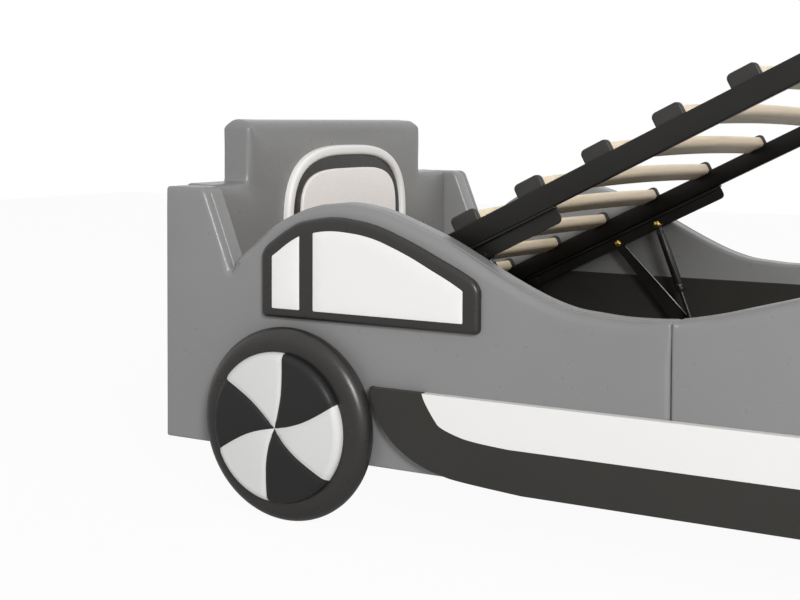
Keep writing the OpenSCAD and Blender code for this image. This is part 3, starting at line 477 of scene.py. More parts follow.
def rounded(w, h, r, k=6, cx=0.0, cy=0.0):
    """Points of a rounded rectangle w by h."""
    out = []
    for sx, sy, a0 in ((1, 1, 0), (-1, 1, 90), (-1, -1, 180), (1, -1, 270)):
        for i in range(k + 1):
            a = (a0 + 90 * i / k) * RAD
            out.append((cx + sx * (w / 2 - r) + r * math.cos(a), cy + sy * (h / 2 - r) + r * math.sin(a)))
    return np.array(out)


def lathe(profile, seg):
    """Revolves (radius, height) points about the local axis: returns (x, z, h) verts and faces."""
    turns = [2 * math.pi * i / seg for i in range(seg)]
    verts = [(r * math.cos(a), r * math.sin(a), h) for a in turns for r, h in profile]
    m = len(profile)
    faces = [(i * m + k, j * m + k, j * m + k + 1, i * m + k + 1)
             for i in range(seg) for j in [(i + 1) % seg] for k in range(m - 1)]
    return np.array(verts), faces


def dress(node, mat, bevel):
    """A CAD solid with its edges broken, standing for the node."""
    src = frame["nodes"][node]
    me = bpy.data.meshes.new("v_" + node)
    bm = bmesh.new()
    bm.from_mesh(src.data)
    bmesh.ops.remove_doubles(bm, verts=bm.verts, dist=2e-6)
    bmesh.ops.dissolve_limit(bm, angle_limit=0.6 * RAD, verts=bm.verts, edges=bm.edges)
    bmesh.ops.recalc_face_normals(bm, faces=bm.faces)
    bm.to_mesh(me)
    bm.free()
    me.materials.clear()
    me.materials.append(mat)
    me.polygons.foreach_set("use_smooth", [True] * len(me.polygons))
    ob = add_object("v_" + node, me)
    b = ob.modifiers.new("bevel", "BEVEL")
    b.width = bevel
    b.segments = 2
    b.limit_method = "ANGLE"
    b.angle_limit = 32 * RAD
    b.harden_normals = False
    weighted(ob)
    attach(ob, src["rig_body"])
    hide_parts(node)
    return ob


def smooth_loop(r, k):
    """Values round a closed outline, evened out k times."""
    r = np.asarray(r, float)
    for _ in range(k):
        r = (np.roll(r, 1) + 2 * r + np.roll(r, -1)) / 4
    return r


# side outlines
notch = np.array([x_rear + 0.1485 * half_l, door_h + 0.180 * roof_rise])
foot = np.array([x_rear + 0.1425 * half_l, door_h + 0.280 * roof_rise])
roof = [(0.162, 0.342), (0.185, 0.462), (0.208, 0.578), (0.231, 0.688), (0.253, 0.772), (0.275, 0.835),
        (0.308, 0.917), (0.340, 0.971), (0.368, 0.992), (0.400, 1.0), (0.446, 0.967), (0.487, 0.905),
        (0.540, 0.787), (0.592, 0.662), (0.644, 0.505), (0.681, 0.388), (0.719, 0.275), (0.755, 0.177),
        (0.790, 0.099), (0.825, 0.044), (0.862, 0.020), (0.905, 0.0), (0.950, 0.0), (1.0, 0.012)]
roof_line = catmull([(x_rear + a * half_l, door_h + b * roof_rise) for a, b in roof], 10)
fender = [(0.0, 0.03), (0.06, 0.16), (0.14, 0.40), (0.24, 0.70), (0.34, 0.90), (0.46, 1.0), (0.58, 0.95),
          (0.70, 0.76), (0.82, 0.48), (0.92, 0.22), (1.0, 0.02)]
fender_line = catmull([(x_seam + a * (half_l + 4), door_h + b * fender_rise) for a, b in fender], 10)


def fillet(a, b, c, r):
    """Points of a rounded corner at b between a and c, reaching r along each leg."""
    a, b, c = map(np.asarray, (a, b, c))
    p = b + (a - b) / np.linalg.norm(a - b) * r
    q = b + (c - b) / np.linalg.norm(c - b) * r
    return [(1 - t) ** 2 * p + 2 * t * (1 - t) * b + t * t * q for t in np.linspace(0, 1, 6)]


def rear_columns():
    c, cr, end = 14.0, 6.0, 7.0  # corner radii: post's front, its rear, and the seam
    px = x_rear + post_w
    x0, top = x_rear - swell, post_h - 0.5
    pts = [np.array([x, top - float(drop(x, x0, px + 99, cr))]) for x in spaced(x0, px - c, cr, 0, 14)]
    corner = fillet((x0, top), (px, top), foot, c)
    pts += corner[1:] if abs(corner[0][0] - pts[-1][0]) < 1 else corner
    last = pts[-1]
    for s in np.linspace(0, 1, 15)[1:]:
        pts.append(last * (1 - s) + foot * s)
    pts += fillet(foot, notch, roof_line[0], 12.0)
    tail = spaced(x_seam - 40, x_seam, 0, end, 6)
    pts += [q for q in roof_line if q[0] < tail[0] - 2]
    level = np.interp(tail, roof_line[:, 0], roof_line[:, 1]) - drop(tail, x0, x_seam, end)
    hi = np.array(pts + list(np.stack([tail, level], 1)))
    xs = spaced(x0, x_seam, 5.0, 5.0, 14)
    lo = np.stack([xs, body_z - swell + drop(xs, x0, x_seam, 5.0)], 1)
    return lo, hi


def front_columns():
    c, c2, x1 = 5.0, 30.0, x_front + swell
    xs = spaced(x_seam, x1, c, c2, 9)
    z = np.interp(xs, fender_line[:, 0], fender_line[:, 1])
    hi = np.stack([xs, z - drop(xs, x_seam, 2 * x1, c) - drop(xs, 2 * x_seam - x1, x1, c2)], 1)
    lo = np.stack([xs, body_z - swell + drop(xs, x_seam, 2 * x1, c) + drop(xs, 2 * x_seam - x1, x1, c2)], 1)
    return lo, hi


def closed(lo, hi, step=13.0):
    """Counter-clockwise outline from lower and upper lines, each from left to right."""
    lo, hi = np.asarray(lo, float), np.asarray(hi, float)
    n1 = max(1, int(abs(hi[-1][1] - lo[-1][1]) / step))
    n0 = max(1, int(abs(hi[0][1] - lo[0][1]) / step))
    right = [lo[-1] + (hi[-1] - lo[-1]) * i / n1 for i in range(1, n1)]
    left = [hi[0] + (lo[0] - hi[0]) * i / n0 for i in range(1, n0)]
    p = list(lo) + right + list(hi[::-1]) + left
    out = [p[0]]
    for q in p[1:]:
        if np.linalg.norm(q - out[-1]) > 0.25:
            out.append(q)
    return np.array(out)


def inside(pts, loop):
    """Which points lie inside a closed outline."""
    x, y = pts[:, 0], pts[:, 1]
    hit = np.zeros(len(pts), bool)
    for (x0, y0), (x1, y1) in zip(loop, np.roll(loop, -1, 0)):
        if y0 != y1:
            hit ^= ((y0 > y) != (y1 > y)) & (x < (x1 - x0) * (y - y0) / (y1 - y0) + x0)
    return hit


def face_fill(loop, step, rise):
    """Triangles over a closed outline: inner points, their heights, and faces on loop + inner."""
    lo, hi = loop.min(0), loop.max(0)
    g, row, y = [], 0, lo[1] + step * 0.5
    while y < hi[1]:
        x = lo[0] + step * (0.25 + 0.5 * (row % 2))
        while x < hi[0]:
            g.append((x, y))
            x += step
        y += step * 0.866
        row += 1
    g = np.array(g)
    g = g[inside(g, loop)]
    d = near_edge(g, loop)
    g, d = g[d > step * 0.45], d[d > step * 0.45]
    pts = [Vector(q) for q in loop] + [Vector(q) for q in g]
    n = len(loop)
    co, _, faces, origin = delaunay_2d_cdt(pts, [], [list(range(n))], 1, 1e-5, True)[:4]
    index, extra = [], []
    for c, src in zip(co, origin):
        index.append(src[0] if src else len(pts) + len(extra))
        if not src:
            extra.append(c)
    mids = np.array([np.mean([co[i] for i in f], axis=0) for f in faces])
    size = [abs((co[f[1]] - co[f[0]]).cross(co[f[2]] - co[f[0]])) for f in faces]
    keep = inside(mids, loop)
    faces = [tuple(index[i] for i in f) for f, k, a in zip(faces, keep, size) if k and a > 1e-4]
    if extra:
        g = np.concatenate([g.reshape(-1, 2), np.array(extra)])
        d = near_edge(g, loop)
    return g, rise(d, g), faces


def pad(loop, t, rf, rb, step=13.0, crown=0.0, reach=60.0, steps=8, bump=None, wide=1.0):
    """Upholstered board from a closed outline, w = 0 back, w = t front, edge radii one or per point."""
    n = len(loop)
    rf, rb = (np.broadcast_to(np.asarray(r, float), n) for r in (rf, rb))
    verts, faces, back, front = rim(loop, t, rf, rb, steps, wide)

    def rise(d, g):
        h = crown * (1 - np.exp(-((d / reach) ** 1.5)))
        return h if bump is None else h + bump(d, g)

    for outline, start, w, size, height, way in (
            (front, len(verts) - n, t, step, rise, 1), (back, 0, 0.0, step * 2.5, lambda d, g: 0 * d, -1)):
        g, h, f = face_fill(outline, size, height)
        base = len(verts)
        verts.extend(np.column_stack([g, w + h]))
        faces += [tuple(start + i if i < n else base + i - n for i in q[::way]) for q in f]
    return np.array(verts), faces


def inflate(v, f, held, cap):
    """Swells a closed padded form (mm) with Blender's cloth.

    held is true where the cover is fixed, cap limits the move."""
    frames = 20
    me = bpy.data.meshes.new("swell")
    me.from_pydata([tuple(c * 0.001 for c in p) for p in v], [], [tuple(q) for q in f])
    ob = add_object("swell", me)
    group = ob.vertex_groups.new(name="held")
    group.add([int(i) for i in np.flatnonzero(held)], 1.0, "REPLACE")
    mod = ob.modifiers.new("cloth", "CLOTH")
    c = mod.settings
    c.vertex_group_mass = "held"
    c.quality = 6
    c.mass = 0.4
    c.tension_stiffness = c.compression_stiffness = c.shear_stiffness = 18.0
    c.bending_stiffness = 4.0
    c.use_pressure = True
    c.uniform_pressure_force = 4.0
    c.effector_weights.gravity = 0
    mod.collision_settings.use_collision = False
    mod.point_cache.frame_start, mod.point_cache.frame_end = 1, frames
    for k in range(1, frames + 1):
        bpy.context.scene.frame_set(k)
    got = ob.evaluated_get(bpy.context.evaluated_depsgraph_get()).to_mesh()
    co = np.empty(len(v) * 3)
    got.vertices.foreach_get("co", co)
    move = co.reshape(-1, 3) * 1000.0 - v
    size = np.linalg.norm(move, axis=1)[:, None] + 1e-9
    bpy.data.objects.remove(ob, do_unlink=True)
    bpy.data.meshes.remove(me)
    bpy.context.scene.frame_set(1)
    return v + move * (cap * np.tanh(size / cap) / size)


def pick(loop, rules, other):
    """Edge radius for each point of an outline from (test, radius) rules."""
    out = np.full(len(loop), float(other))
    for i, (x, y) in enumerate(loop):
        for test, r in rules:
            if test(x, y):
                out[i] = r
                break
    return out


rear_loop, front_loop = closed(*rear_columns()), closed(*front_columns())


def top_radius(xs, x0, x1, low, high):
    """Radius of a top edge, growing from low near x0 and x1 to high 60 mm away."""
    return low + (high - low) * ease(np.minimum(xs - x0, x1 - xs) / 60.0)


seam_end = x_seam - 26  # where the top edge starts to tighten towards the seam
rear_r = pick(rear_loop, [(lambda x, z: z < body_z + 12, 4.0),
                          (lambda x, z: x < x_rear + 1 and z < post_h - 14, 4.5),
                          (lambda x, z: x > seam_end and z > door_h - 40, 5.0),
                          (lambda x, z: x > x_seam - 3, 12.0),
                          (lambda x, z: x < foot[0] + 1 and z > foot[1] and x > x_rear + 20, 12.0),
                          (lambda x, z: x < notch[0], 6.0)], 12.0)
xs, zs = rear_loop.T
on_top = (xs > notch[0] + 2) & (zs > door_h - 20) & (xs < seam_end)
rear_r[on_top] = top_radius(xs[on_top], notch[0], seam_end, 11.0, 18.0)
rear_r[(xs > x_rear + post_w - 16) & (xs <= notch[0] + 2) & (zs > door_h)] = 7.6
near_notch = np.exp(-((np.hypot(*(rear_loop - notch).T) / 30.0) ** 2))
rear_r = rear_r * (1 - near_notch) + 13.0 * near_notch
front_r = pick(front_loop, [(lambda x, z: z < body_z + 12, 4.0), (lambda x, z: x < x_seam + 3, 5.0)], 14.0)
xs, zs = front_loop.T
on_top = (zs > door_h - 24) & (xs > x_seam + 3)
front_r[on_top] = top_radius(xs[on_top], x_seam, x_front, 8.0, 18.0)

for tag, loop, rr in (("rear", rear_loop, rear_r), ("front", front_loop, front_r)):
    soft = smooth_loop(rr, 3)
    v1, f1 = pad(loop, skin_t, soft, np.minimum(4.0, soft), step=14, crown=1.2, reach=45,
                 wide=1 + 0.3 * near_notch if tag == "rear" else 1.0)
    v1 = inflate(v1, f1, v1[:, 2] < skin_t * 0.3, 2.4)
    v2, f2 = pad(loop, panel_t - skin_t - 0.6, 4.5, np.minimum(8.0, soft), step=26, steps=6)
    for side, sname in SIDES:
        node = f"side_{tag}_{sname}"
        ob = make(f"panel_{tag}_{sname}_outer", on_side(v1, y_out - skin_t, side), f1, M_GREY, ROOT)
        stands(node)
        # the far side's inner face takes the lighter copy of the grey leather: painted light
        mat = M_GREY if side < 0 else M_GREY_PAINTED_LIGHT
        ob = make(f"panel_{tag}_{sname}_inner", on_side(v2, y_in, side), f2, mat, ROOT)
        stands(node)


# headboard and nose
head_vt = 66.0  # headboard with its padding
b, bl = block_w / 2 + 3.0, block_w / 2 + 8.0  # half width of the raised block, to the far and the near side
c2 = 22.0  # its upper corners
sh = post_h + 3.0  # top of the headboard's shoulders


def arc(cx, cy, r, a0, a1, k=8):
    return [(cx + r * math.cos(a * RAD), cy + r * math.sin(a * RAD)) for a in np.linspace(a0, a1, k + 1)]


def runs(pts, step=14.0):
    """Closed outline with its long edges divided."""
    out = []
    pts = [np.array(q, float) for q in pts]
    for q, r in zip(pts, pts[1:] + pts[:1]):
        k = max(1, int(np.linalg.norm(r - q) / step))
        out += [q + (r - q) * i / k for i in range(k)]
    return np.array(out)


head_loop = runs(arc(-y_in + 6, body_z + 4, 6, 180, 270, 4) + arc(y_in - 6, body_z + 4, 6, 270, 360, 4)
                 + arc(y_in - 12, sh - 12, 12, 0, 90, 6)
                 + [(b + 7, sh), (b + 2.2, sh + 1.2), (b + 0.4, sh + 5.5)]
                 + arc(b - c2, head_h - c2, c2, 0, 90, 9) + arc(-bl + c2, head_h - c2, c2, 90, 180, 9)
                 + [(-bl - 0.4, sh + 5.5), (-bl - 2.2, sh + 1.2), (-bl - 7, sh)]
                 + arc(-y_in + 12, sh - 12, 12, 90, 180, 6))


def head_radius(y, z):
    if z > head_h - c2 - 1:
        return 7.5 + 17.0 * ease((z - (head_h - c2)) / c2)
    if z > post_h - 14:
        return 7.5 if abs(y) < b + 3 and z > post_h else 11.0
    return 5.0


head_rad = smooth_loop(np.array([head_radius(y, z) for y, z in head_loop]), 2)


def head_bump(d, g):
    """Pull of the cover at the inner corners of the shoulders."""
    out = np.zeros(len(g))
    for s in (-1, 1):
        q = np.hypot(g[:, 0] - s * b, g[:, 1] - post_h)
        out -= 2.2 * np.exp(-((q / 16.0) ** 2))
    return out


v, f = pad(head_loop, head_vt, head_rad, head_rad, step=14, crown=1.6, reach=60, bump=head_bump, steps=9)
v = inflate(v, f, (v[:, 2] < head_vt * 0.3) | (v[:, 1] < body_z + 12), 2.6)
# the headboard takes the darker copy of the grey leather: painted shade
ob = make("headboard_pad", on_end(v, x_head - head_vt), f, M_GREY_PAINTED_SHADE, ROOT)
stands("headboard")

nose_y = spaced(-y_in, y_in, 24.0, 24.0, 26)
nose_hi = np.stack([nose_y, nose_h - nose_h * 0.04 * nose_y**2 / y_in**2 - drop(nose_y, -y_in, y_in, 24.0)], 1)
nose_lo = np.stack([nose_y, body_z + drop(nose_y, -y_in, y_in, 24.0)], 1)
v, f = pad(closed(nose_lo, nose_hi), head_t, 13.0, 12.0, step=15, crown=1.4, reach=60)
v = inflate(v, f, (v[:, 2] < head_t * 0.3) | (v[:, 1] < body_z + 12), 2.4)
ob = make("nose_pad", on_end(v, x_foot), f, M_GREY, ROOT)
stands("footboard")

# rear window emblem
em_w, em_top, em_bot, em_side = 530.0, 688.0, 432.0, 9.0
em_mid = em_top - (em_top - em_bot) * 0.73


def emblem(inset, k=400, power=3.0):
    """Closed outline of the emblem at an inset, as (y, z)."""
    a, h1, h2 = em_w / 2 - inset, em_top - inset - em_mid, em_mid - em_bot - inset
    out = []
    for i in range(k):
        t = 2 * math.pi * i / k
        c, s = math.cos(t), math.sin(t)
        y = a * math.copysign(abs(c) ** (2 / power), c)
        z = (h1 if s >= 0 else h2) * math.copysign(abs(s) ** (2 / power), s)
        out.append((em_side + y, em_mid + z))
    return np.array(out)


def even(p, n):
    """Closed outline sampled at n even steps."""
    q = np.vstack([p, p[:1]])
    d = np.concatenate([[0], np.cumsum(np.linalg.norm(np.diff(q, axis=0), axis=1))])
    s = np.linspace(0, d[-1], n, endpoint=False)
    return np.stack([np.interp(s, d, q[:, 0]), np.interp(s, d, q[:, 1])], 1)


def inset_line(p, d):
    """Closed counter-clockwise outline moved inwards by d."""
    e = np.roll(p, -1, 0) - np.roll(p, 1, 0)
    e /= np.linalg.norm(e, axis=1)[:, None]
    return p + d * np.stack([-e[:, 1], e[:, 0]], 1)


em_n = 240
em0 = even(emblem(0), em_n)
# section of the piping, inset and height
ring_form = [(0, 0), (0, 10.5), (0.5, 13.6), (1.6, 16.0), (3.3, 17.6), (5.4, 18.4), (8, 18.7), (12, 18.8),
             (16, 18.6), (18.6, 18.0), (20.6, 16.8), (22.0, 15.0), (22.8, 12.5), (23.0, 7.5)]
v, f = loft(
    [np.stack([np.full(em_n, x_head - 0.3 + h), *inset_line(em0, i).T], 1) for i, h in ring_form], caps=False
)
ob = make("emblem_piping", v, f, M_PIPE, ROOT)
stands("emblem_ring")


def plate(p, x0, x1, r, mat, name):
    """Flat plate with rounded rim on the headboard, from outline p (y, z)."""
    rings = [np.stack([np.full(len(p), x0), p[:, 0], p[:, 1]], 1)]
    for a in np.linspace(0, math.pi / 2, 4):
        q = inset_line(p, r * (1 - math.cos(a)))
        rings.append(np.stack([np.full(len(p), x1 - r + r * math.sin(a)), q[:, 0], q[:, 1]], 1))
    last = rings[-1]
    mid = last.mean(0)
    for s in (0.97, 0.9, 0.75, 0.5, 0.25, 0.02):
        rings.append(mid + (last - mid) * s)
    v, f = loft(rings)
    return make(name, v, f, mat, ROOT)


em1 = inset_line(em0, 22.6)
em2 = even(emblem(54.0, power=4.0), em_n) + [2.8, 1.5]
ob = plate(em1, x_head, x_head + 10.0, 1.5, M_BLACK, "emblem_black")
stands("emblem_band")
ob = plate(em2, x_head + 4, x_head + 16.0, 1.6, M_GLASS, "emblem_pane")
stands("emblem_glass")

# side windows
win_x, win_l, win_z, win_top, win_t = 232.0, 448.8, 374.0, 566.0, 14.0
win_edge, win_rear, win_front, win_over, mullion_w, pane_l = 18.0, 26.0, 29.3, 25.0, 29.6, 60.4
win = [(0, 0.665), (0.05, 0.748), (0.10, 0.834), (0.15, 0.904), (0.20, 0.951), (0.33, 1.0), (0.46, 0.985),
       (0.56, 0.940), (0.65, 0.865), (0.74, 0.775), (0.825, 0.675), (0.91, 0.575), (1.0, 0.45)]
w0, w1 = x_rear + win_x, x_rear + win_x + win_l
win_line = catmull([(w0 + a * win_l, win_z + b_ * (win_top - win_z)) for a, b_ in win], 10)


def under_line(xs, over_):
    """Heights at xs of the window's arch moved inwards by over_."""
    e = np.gradient(win_line, axis=0)
    e /= np.linalg.norm(e, axis=1)[:, None]
    q = win_line + over_ * np.stack([e[:, 1], -e[:, 0]], 1)
    order = np.argsort(q[:, 0])
    return np.interp(xs, q[order, 0], q[order, 1])


def window(side, sname):
    c = 15.0
    xs = spaced(w0, w1, c, c, 8)
    # the front half of the arch runs a little lower than the panes' line
    low = 3.2 * np.sin(math.pi * np.clip(((xs - w0) / win_l - 0.38) / 0.58, 0, 1))
    hi = np.stack([xs, under_line(xs, 0) - low - drop(xs, w0, w1, c)], 1)
    lo = np.stack([xs, win_z + drop(xs, w0, w1, 10.5)], 1)
    v, f = pad(closed(lo, hi), win_t, 8.8, 0.6, step=12, crown=0.5, reach=14, steps=9)
    ob = make(f"window_pad_{sname}", on_side(v, y_out, side), f, M_BLACK, ROOT)
    stands(f"window_{sname}")
    p1 = w0 + win_rear
    p2 = p1 + pane_l
    for tag, a, b_ in (("rear", p1, p2), ("front", p2 + mullion_w, w1 - win_front)):
        xs = spaced(a, b_, 2.5, 2.5, 7)
        hi = np.stack([xs, under_line(xs, win_over) - drop(xs, a, b_, 2.5)], 1)
        lo = np.stack([xs, win_z + win_edge + drop(xs, a, b_, 2.5)], 1)
        v, f = pad(closed(lo, hi), 5.6, 0.7, 0.3, step=22, crown=0.1, reach=10, steps=4)
        ob = make(f"pane_{tag}_{sname}", on_side(v, y_out + win_t - 4.4, side), f, M_PANE, ROOT, angle=50)
        stands(f"panes_{sname}")


for s, sname in SIDES:
    window(s, sname)


# wheels
def wheel(x, side, tag):
    """Padded tyre and hub on a side panel, round the wheel's middle x."""
    r2 = 23.0  # rounding of the tyre
    prof = [(126, 14.0), (126, tyre_w - 2.0), (140.1, tyre_w - 0.6), (146, tyre_w),
            (153, tyre_w + 0.4), (157, tyre_w)]
    for a in np.linspace(90, 0, 12)[1:]:
        prof.append((wheel_r - r2 + r2 * math.cos(a * RAD), tyre_w - r2 + r2 * math.sin(a * RAD)))
    for a in np.linspace(0, -90, 9)[1:]:
        prof.append((wheel_r - 22 + 22 * math.cos(a * RAD), r2 + (r2 - 1) * math.sin(a * RAD)))
    prof += [(120, 0.0), (60, 0.0), (0.001, 0.0)]
    v, f = lathe(prof, 144)
    pts = np.stack([x + v[:, 0], side * (y_out + v[:, 2]), wheel_r + v[:, 1]], 1)
    ob = make(f"tyre_pad_{tag}", pts, f, M_BLACK, ROOT)
    stands(f"tyre_{tag}")

    # hub: six puffed sectors with curved seams between them
    sweep = np.array([(0.0, 0.0), (0.22, 2.0), (0.45, 5.5), (0.65, 9.0), (0.83, 11.5), (1.05, 14.0)])
    er, hr, top = 15.0, 139.5, tyre_w + 15.5
    cols, sectors = 26, 6
    total = sectors * cols
    prof = [(r, top + 4.0 * (1 - (r / hub_r) ** 2) - 7.0 * math.exp(-((r / 17.0) ** 1.4)))
            for r in (*np.linspace(4, 110, 26), *np.linspace(113, hr - er, 4))]
    prof += [(hr - er + er * math.sin(a), top + -er * 0.9 * (1 - math.cos(a)) + 0.9)
             for a in np.linspace(0.12, math.pi / 2, 11)]
    prof += [(hr, top - 14), (hr, 16.0)]

    def place(r, ang, h):
        return (x - 6.0 + r * math.cos(ang * RAD), side * (y_out + h), wheel_r - 3.6 + r * math.sin(ang * RAD))

    verts, faces, mats = [], [], []
    for r, h in prof:
        base = 70.0 + np.interp(min(r, hub_r) / hub_r, sweep[:, 0], sweep[:, 1])
        for c in range(total):
            q = (c % cols) / cols
            dist = min(q, 1 - q) * 60 * RAD * max(r, 1.0)  # to the nearest seam
            puff = 0.0 if r > hr - 0.1 else -2.4 * math.exp(-((dist / 3.4) ** 2)) - 1.0 * math.exp(-dist / 12.0)
            verts.append(place(r, base + 60.0 * (c / cols), h + puff * (0.5 if r < 14 else 1.0)))
    centre = len(verts)
    verts.append(place(0, 0, top - 4.5))
    for c in range(total):
        d = (c + 1) % total
        faces.append((centre, c, d))
        faces += [(k + c, k + d, k + total + d, k + total + c) for k in range(0, centre - total, total)]
        mats += [(c // cols) % 2] * (centre // total)
    ob = make(f"hub_pad_{tag}", verts, faces, [M_WHITE, M_HUBD], ROOT, face_mats=mats)
    stands(f"hub_{tag}")
    return ob


hubs = [wheel(x, s, f"{a}_{b_}") for x, a in ((x_w1, "rear"), (x_w2, "front")) for s, b_ in SIDES]
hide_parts("hub_sectors")

# skirts and bumper
skirt_t, skirt_z, skirt_top, inset_z = 18.0, 110.0, 264.0, 186.0
sk1, sk2 = x_w1 + 173.0, x_w2 - 173.0
in1 = sk1 + 104.0
sk = np.array([(0, 1), (0.005, 0.88), (0.055, 0.745), (0.125, 0.605), (0.21, 0.485), (0.31, 0.38),
               (0.435, 0.288), (0.565, 0.212), (0.74, 0.14), (0.90, 0.10), (1.05, 0.068), (1.36, 0.038),
               (1.9, 0)])
ins = np.array([(0, 1), (0.055, 0.85), (0.18, 0.64), (0.34, 0.41), (0.45, 0.30), (0.70, 0.195), (1.05, 0.10),
                (1.47, 0.045), (2.1, 0)])
sk_c = catmull(
    np.stack([sk1 + sk[:, 0] * (skirt_top - skirt_z), skirt_z + sk[:, 1] * (skirt_top - skirt_z)], 1), 6
)
in_c = catmull(
    np.stack([in1 + ins[:, 0] * (skirt_top - inset_z), inset_z + ins[:, 1] * (skirt_top - inset_z)], 1), 6
)


def lower_line(curve, xs, a, b_):
    """Lower edge of a skirt shape at xs, the rear curve mirrored to the front."""
    m = (a + b_) / 2
    q = np.where(xs > m, a + b_ - xs, xs)
    return np.interp(q, curve[:, 0], curve[:, 1])


def columns(curve, a, b_, k, *more):
    """Places along a skirt shape: its curve's own, their mirror images, k between them, and more."""
    x = curve[:, 0]
    return np.unique(
        np.round(np.concatenate([x, a + b_ - x, np.linspace(x[-1], a + b_ - x[-1], k), *more]), 3)
    )


def skirt(side, sname):
    """Dark board with a white inset along its top, from wheel to wheel."""
    i1, i2 = in1, sk1 + sk2 - in1
    xs = columns(sk_c, sk1, sk2, 40, in_c[:, 0], sk1 + sk2 - in_c[:, 0])
    lo = np.stack([xs, lower_line(sk_c, xs, sk1, sk2)], 1)
    up = np.full(len(xs), skirt_top)
    below = (xs > i1 + 1e-6) & (xs < i2 - 1e-6)
    up[below] = lower_line(in_c, xs[below], i1, i2)
    hi = np.stack([xs, up], 1)
    for k in (0, -1):  # the pointed ends keep a little height
        hi[k, 1] = max(hi[k, 1], lo[k, 1] + 1.5)
        lo[k, 1] = min(lo[k, 1], hi[k, 1] - 1.5)
    v, f = slab(lo, hi, 0.6, 0.3, skirt_t, rows=2, steps=3)
    ob = make(f"skirt_board_{sname}", on_side(v, y_out, side), f, M_BOARDB, ROOT, angle=40)
    weighted(ob)
    stands(f"skirt_{sname}")
    xs = columns(in_c, i1, i2, 30)
    lo = np.stack([xs, lower_line(in_c, xs, i1, i2)], 1)
    hi = np.stack([xs, np.full(len(xs), skirt_top)], 1)
    lo[[0, -1], 1] -= 1.2
    v, f = slab(lo, hi, (0.5, 1.4), 0.3, skirt_t + 0.5, rows=2, steps=4)
    ob = make(f"skirt_white_{sname}", on_side(v, y_out, side), f, M_BOARDW, ROOT, angle=40)
    weighted(ob)
    stands(f"skirt_inset_{sname}")


for s, sname in SIDES:
    skirt(s, sname)
dress("bumper", M_BOARDB, 0.0012)
dress("bumper_inset", M_BOARDW, 0.0014)
dress("grille", M_PLASTIC, 0.001)

lamp_w, lamp_h, lamp_t = 0.30 * body_w / 2, 0.42 * (nose_h - skirt_top), 12.6
lamp_y, lamp_z = y_in - lamp_w / 2 - 48.0, (nose_h + skirt_top) / 2 - 12.0
for s, sname in SIDES:
    a, b_, c = lamp_y - lamp_w / 2, lamp_y + lamp_w / 2, 0.49 * lamp_h
    ys = spaced(a, b_, c, c, 8)
    hi = np.stack([ys, lamp_z + lamp_h / 2 - drop(ys, a, b_, c)], 1)
    lo = np.stack([ys, lamp_z - lamp_h / 2 + drop(ys, a, b_, c)], 1)
    v, f = slab(lo, hi, 6.0, 0.4, lamp_t, rows=10, crown=2.0, reach=16, steps=7)
    v[:, 0] *= s
    ob = make(f"lamp_pad_{sname}", on_end(v, x_front), f, M_WHITE, ROOT)
    stands(f"headlight_{sname}")

# storage box
for n in ("lining_near", "lining_far", "floor_rear", "floor_front"):
    dress(n, M_LINING, 0.0008)
dress("legs", M_LINING, 0.0025)
dress("centre_beam", M_PINE, 0.002)
for n in ("corner_brackets", "frame_rests", "mech_base_near", "mech_base_far"):
    dress(n, M_STEEL, 0.0008)

# lifting frame
lift = 27.0  # degrees, as photographed
arm_p, base_p = np.array([-484.355, 449.362]), np.array([-286.292, 229.391])  # the arm's upper and lower pivot
bolt_drop, rail_h, rail_t, frame_l, bolt_u = 62.0, 40.0, 20.0, 1880.0, 376.0
y_frame = 500.0
ct, st = math.cos(lift * RAD), math.sin(lift * RAD)


def raised(p):
    """(u, y, w) in the level frame, from the arm's bolt, to the row frame."""
    p = np.asarray(p, float)
    return np.stack(
        [arm_p[0] + p[:, 0] * ct - p[:, 2] * st, p[:, 1], arm_p[1] + p[:, 0] * st + p[:, 2] * ct], 1
    )


u0, u1 = -bolt_u, frame_l - bolt_u
for s, sname in SIDES:
    prof = rounded(rail_t, rail_h, 2.6, 4, s * (y_frame - rail_t / 2), bolt_drop - rail_h / 2)
    prof_in = rounded(rail_t - 1.2, rail_h - 1.2, 2.2, 4, s * (y_frame - rail_t / 2), bolt_drop - rail_h / 2)
    rings = [np.stack([np.full(len(p), u), p[:, 0], p[:, 1]], 1) for u, p in
             ((u0, prof_in), (u0 + 0.8, prof), (u1 - 0.8, prof), (u1, prof_in))]
    v, f = loft([raised(r) for r in rings])
    ob = make(f"rail_tube_{sname}", v, f, M_STEEL, LIFT, angle=50)
    stands(f"rail_{sname}")
for n in ("cross_rear", "cross_front"):
    dress(n, M_STEEL, 0.0018)
for n in ("mech_bar_near", "mech_bar_far"):
    dress(n, M_STEEL, 0.0009)

slat_w, slat_t, slat_up, slat_bow, slat_half = 45.0, 24.5, 20.0, 7.0, 490.0
flat_half = slat_half - 36.0
slat_at = [-bolt_u + 76.0 + i * 137.5 for i in range(13)]
parts = []
for uc in slat_at:
    rings = []
    for y in np.concatenate([[-slat_half], np.linspace(-flat_half, flat_half, 29), [slat_half]]):
        lift_w = slat_bow * max(0.0, 1 - (y / flat_half) ** 2)
        p = rounded(slat_w, slat_t, 7.5, 5, uc, bolt_drop + slat_up - slat_t / 2 + lift_w)
        rings.append(raised(np.stack([p[:, 0], np.full(len(p), y), p[:, 1]], 1)))
    parts.append(loft(rings))
ob = make("slats_wood", *gather(parts), M_BEECH, LIFT, angle=50)
stands("slats")

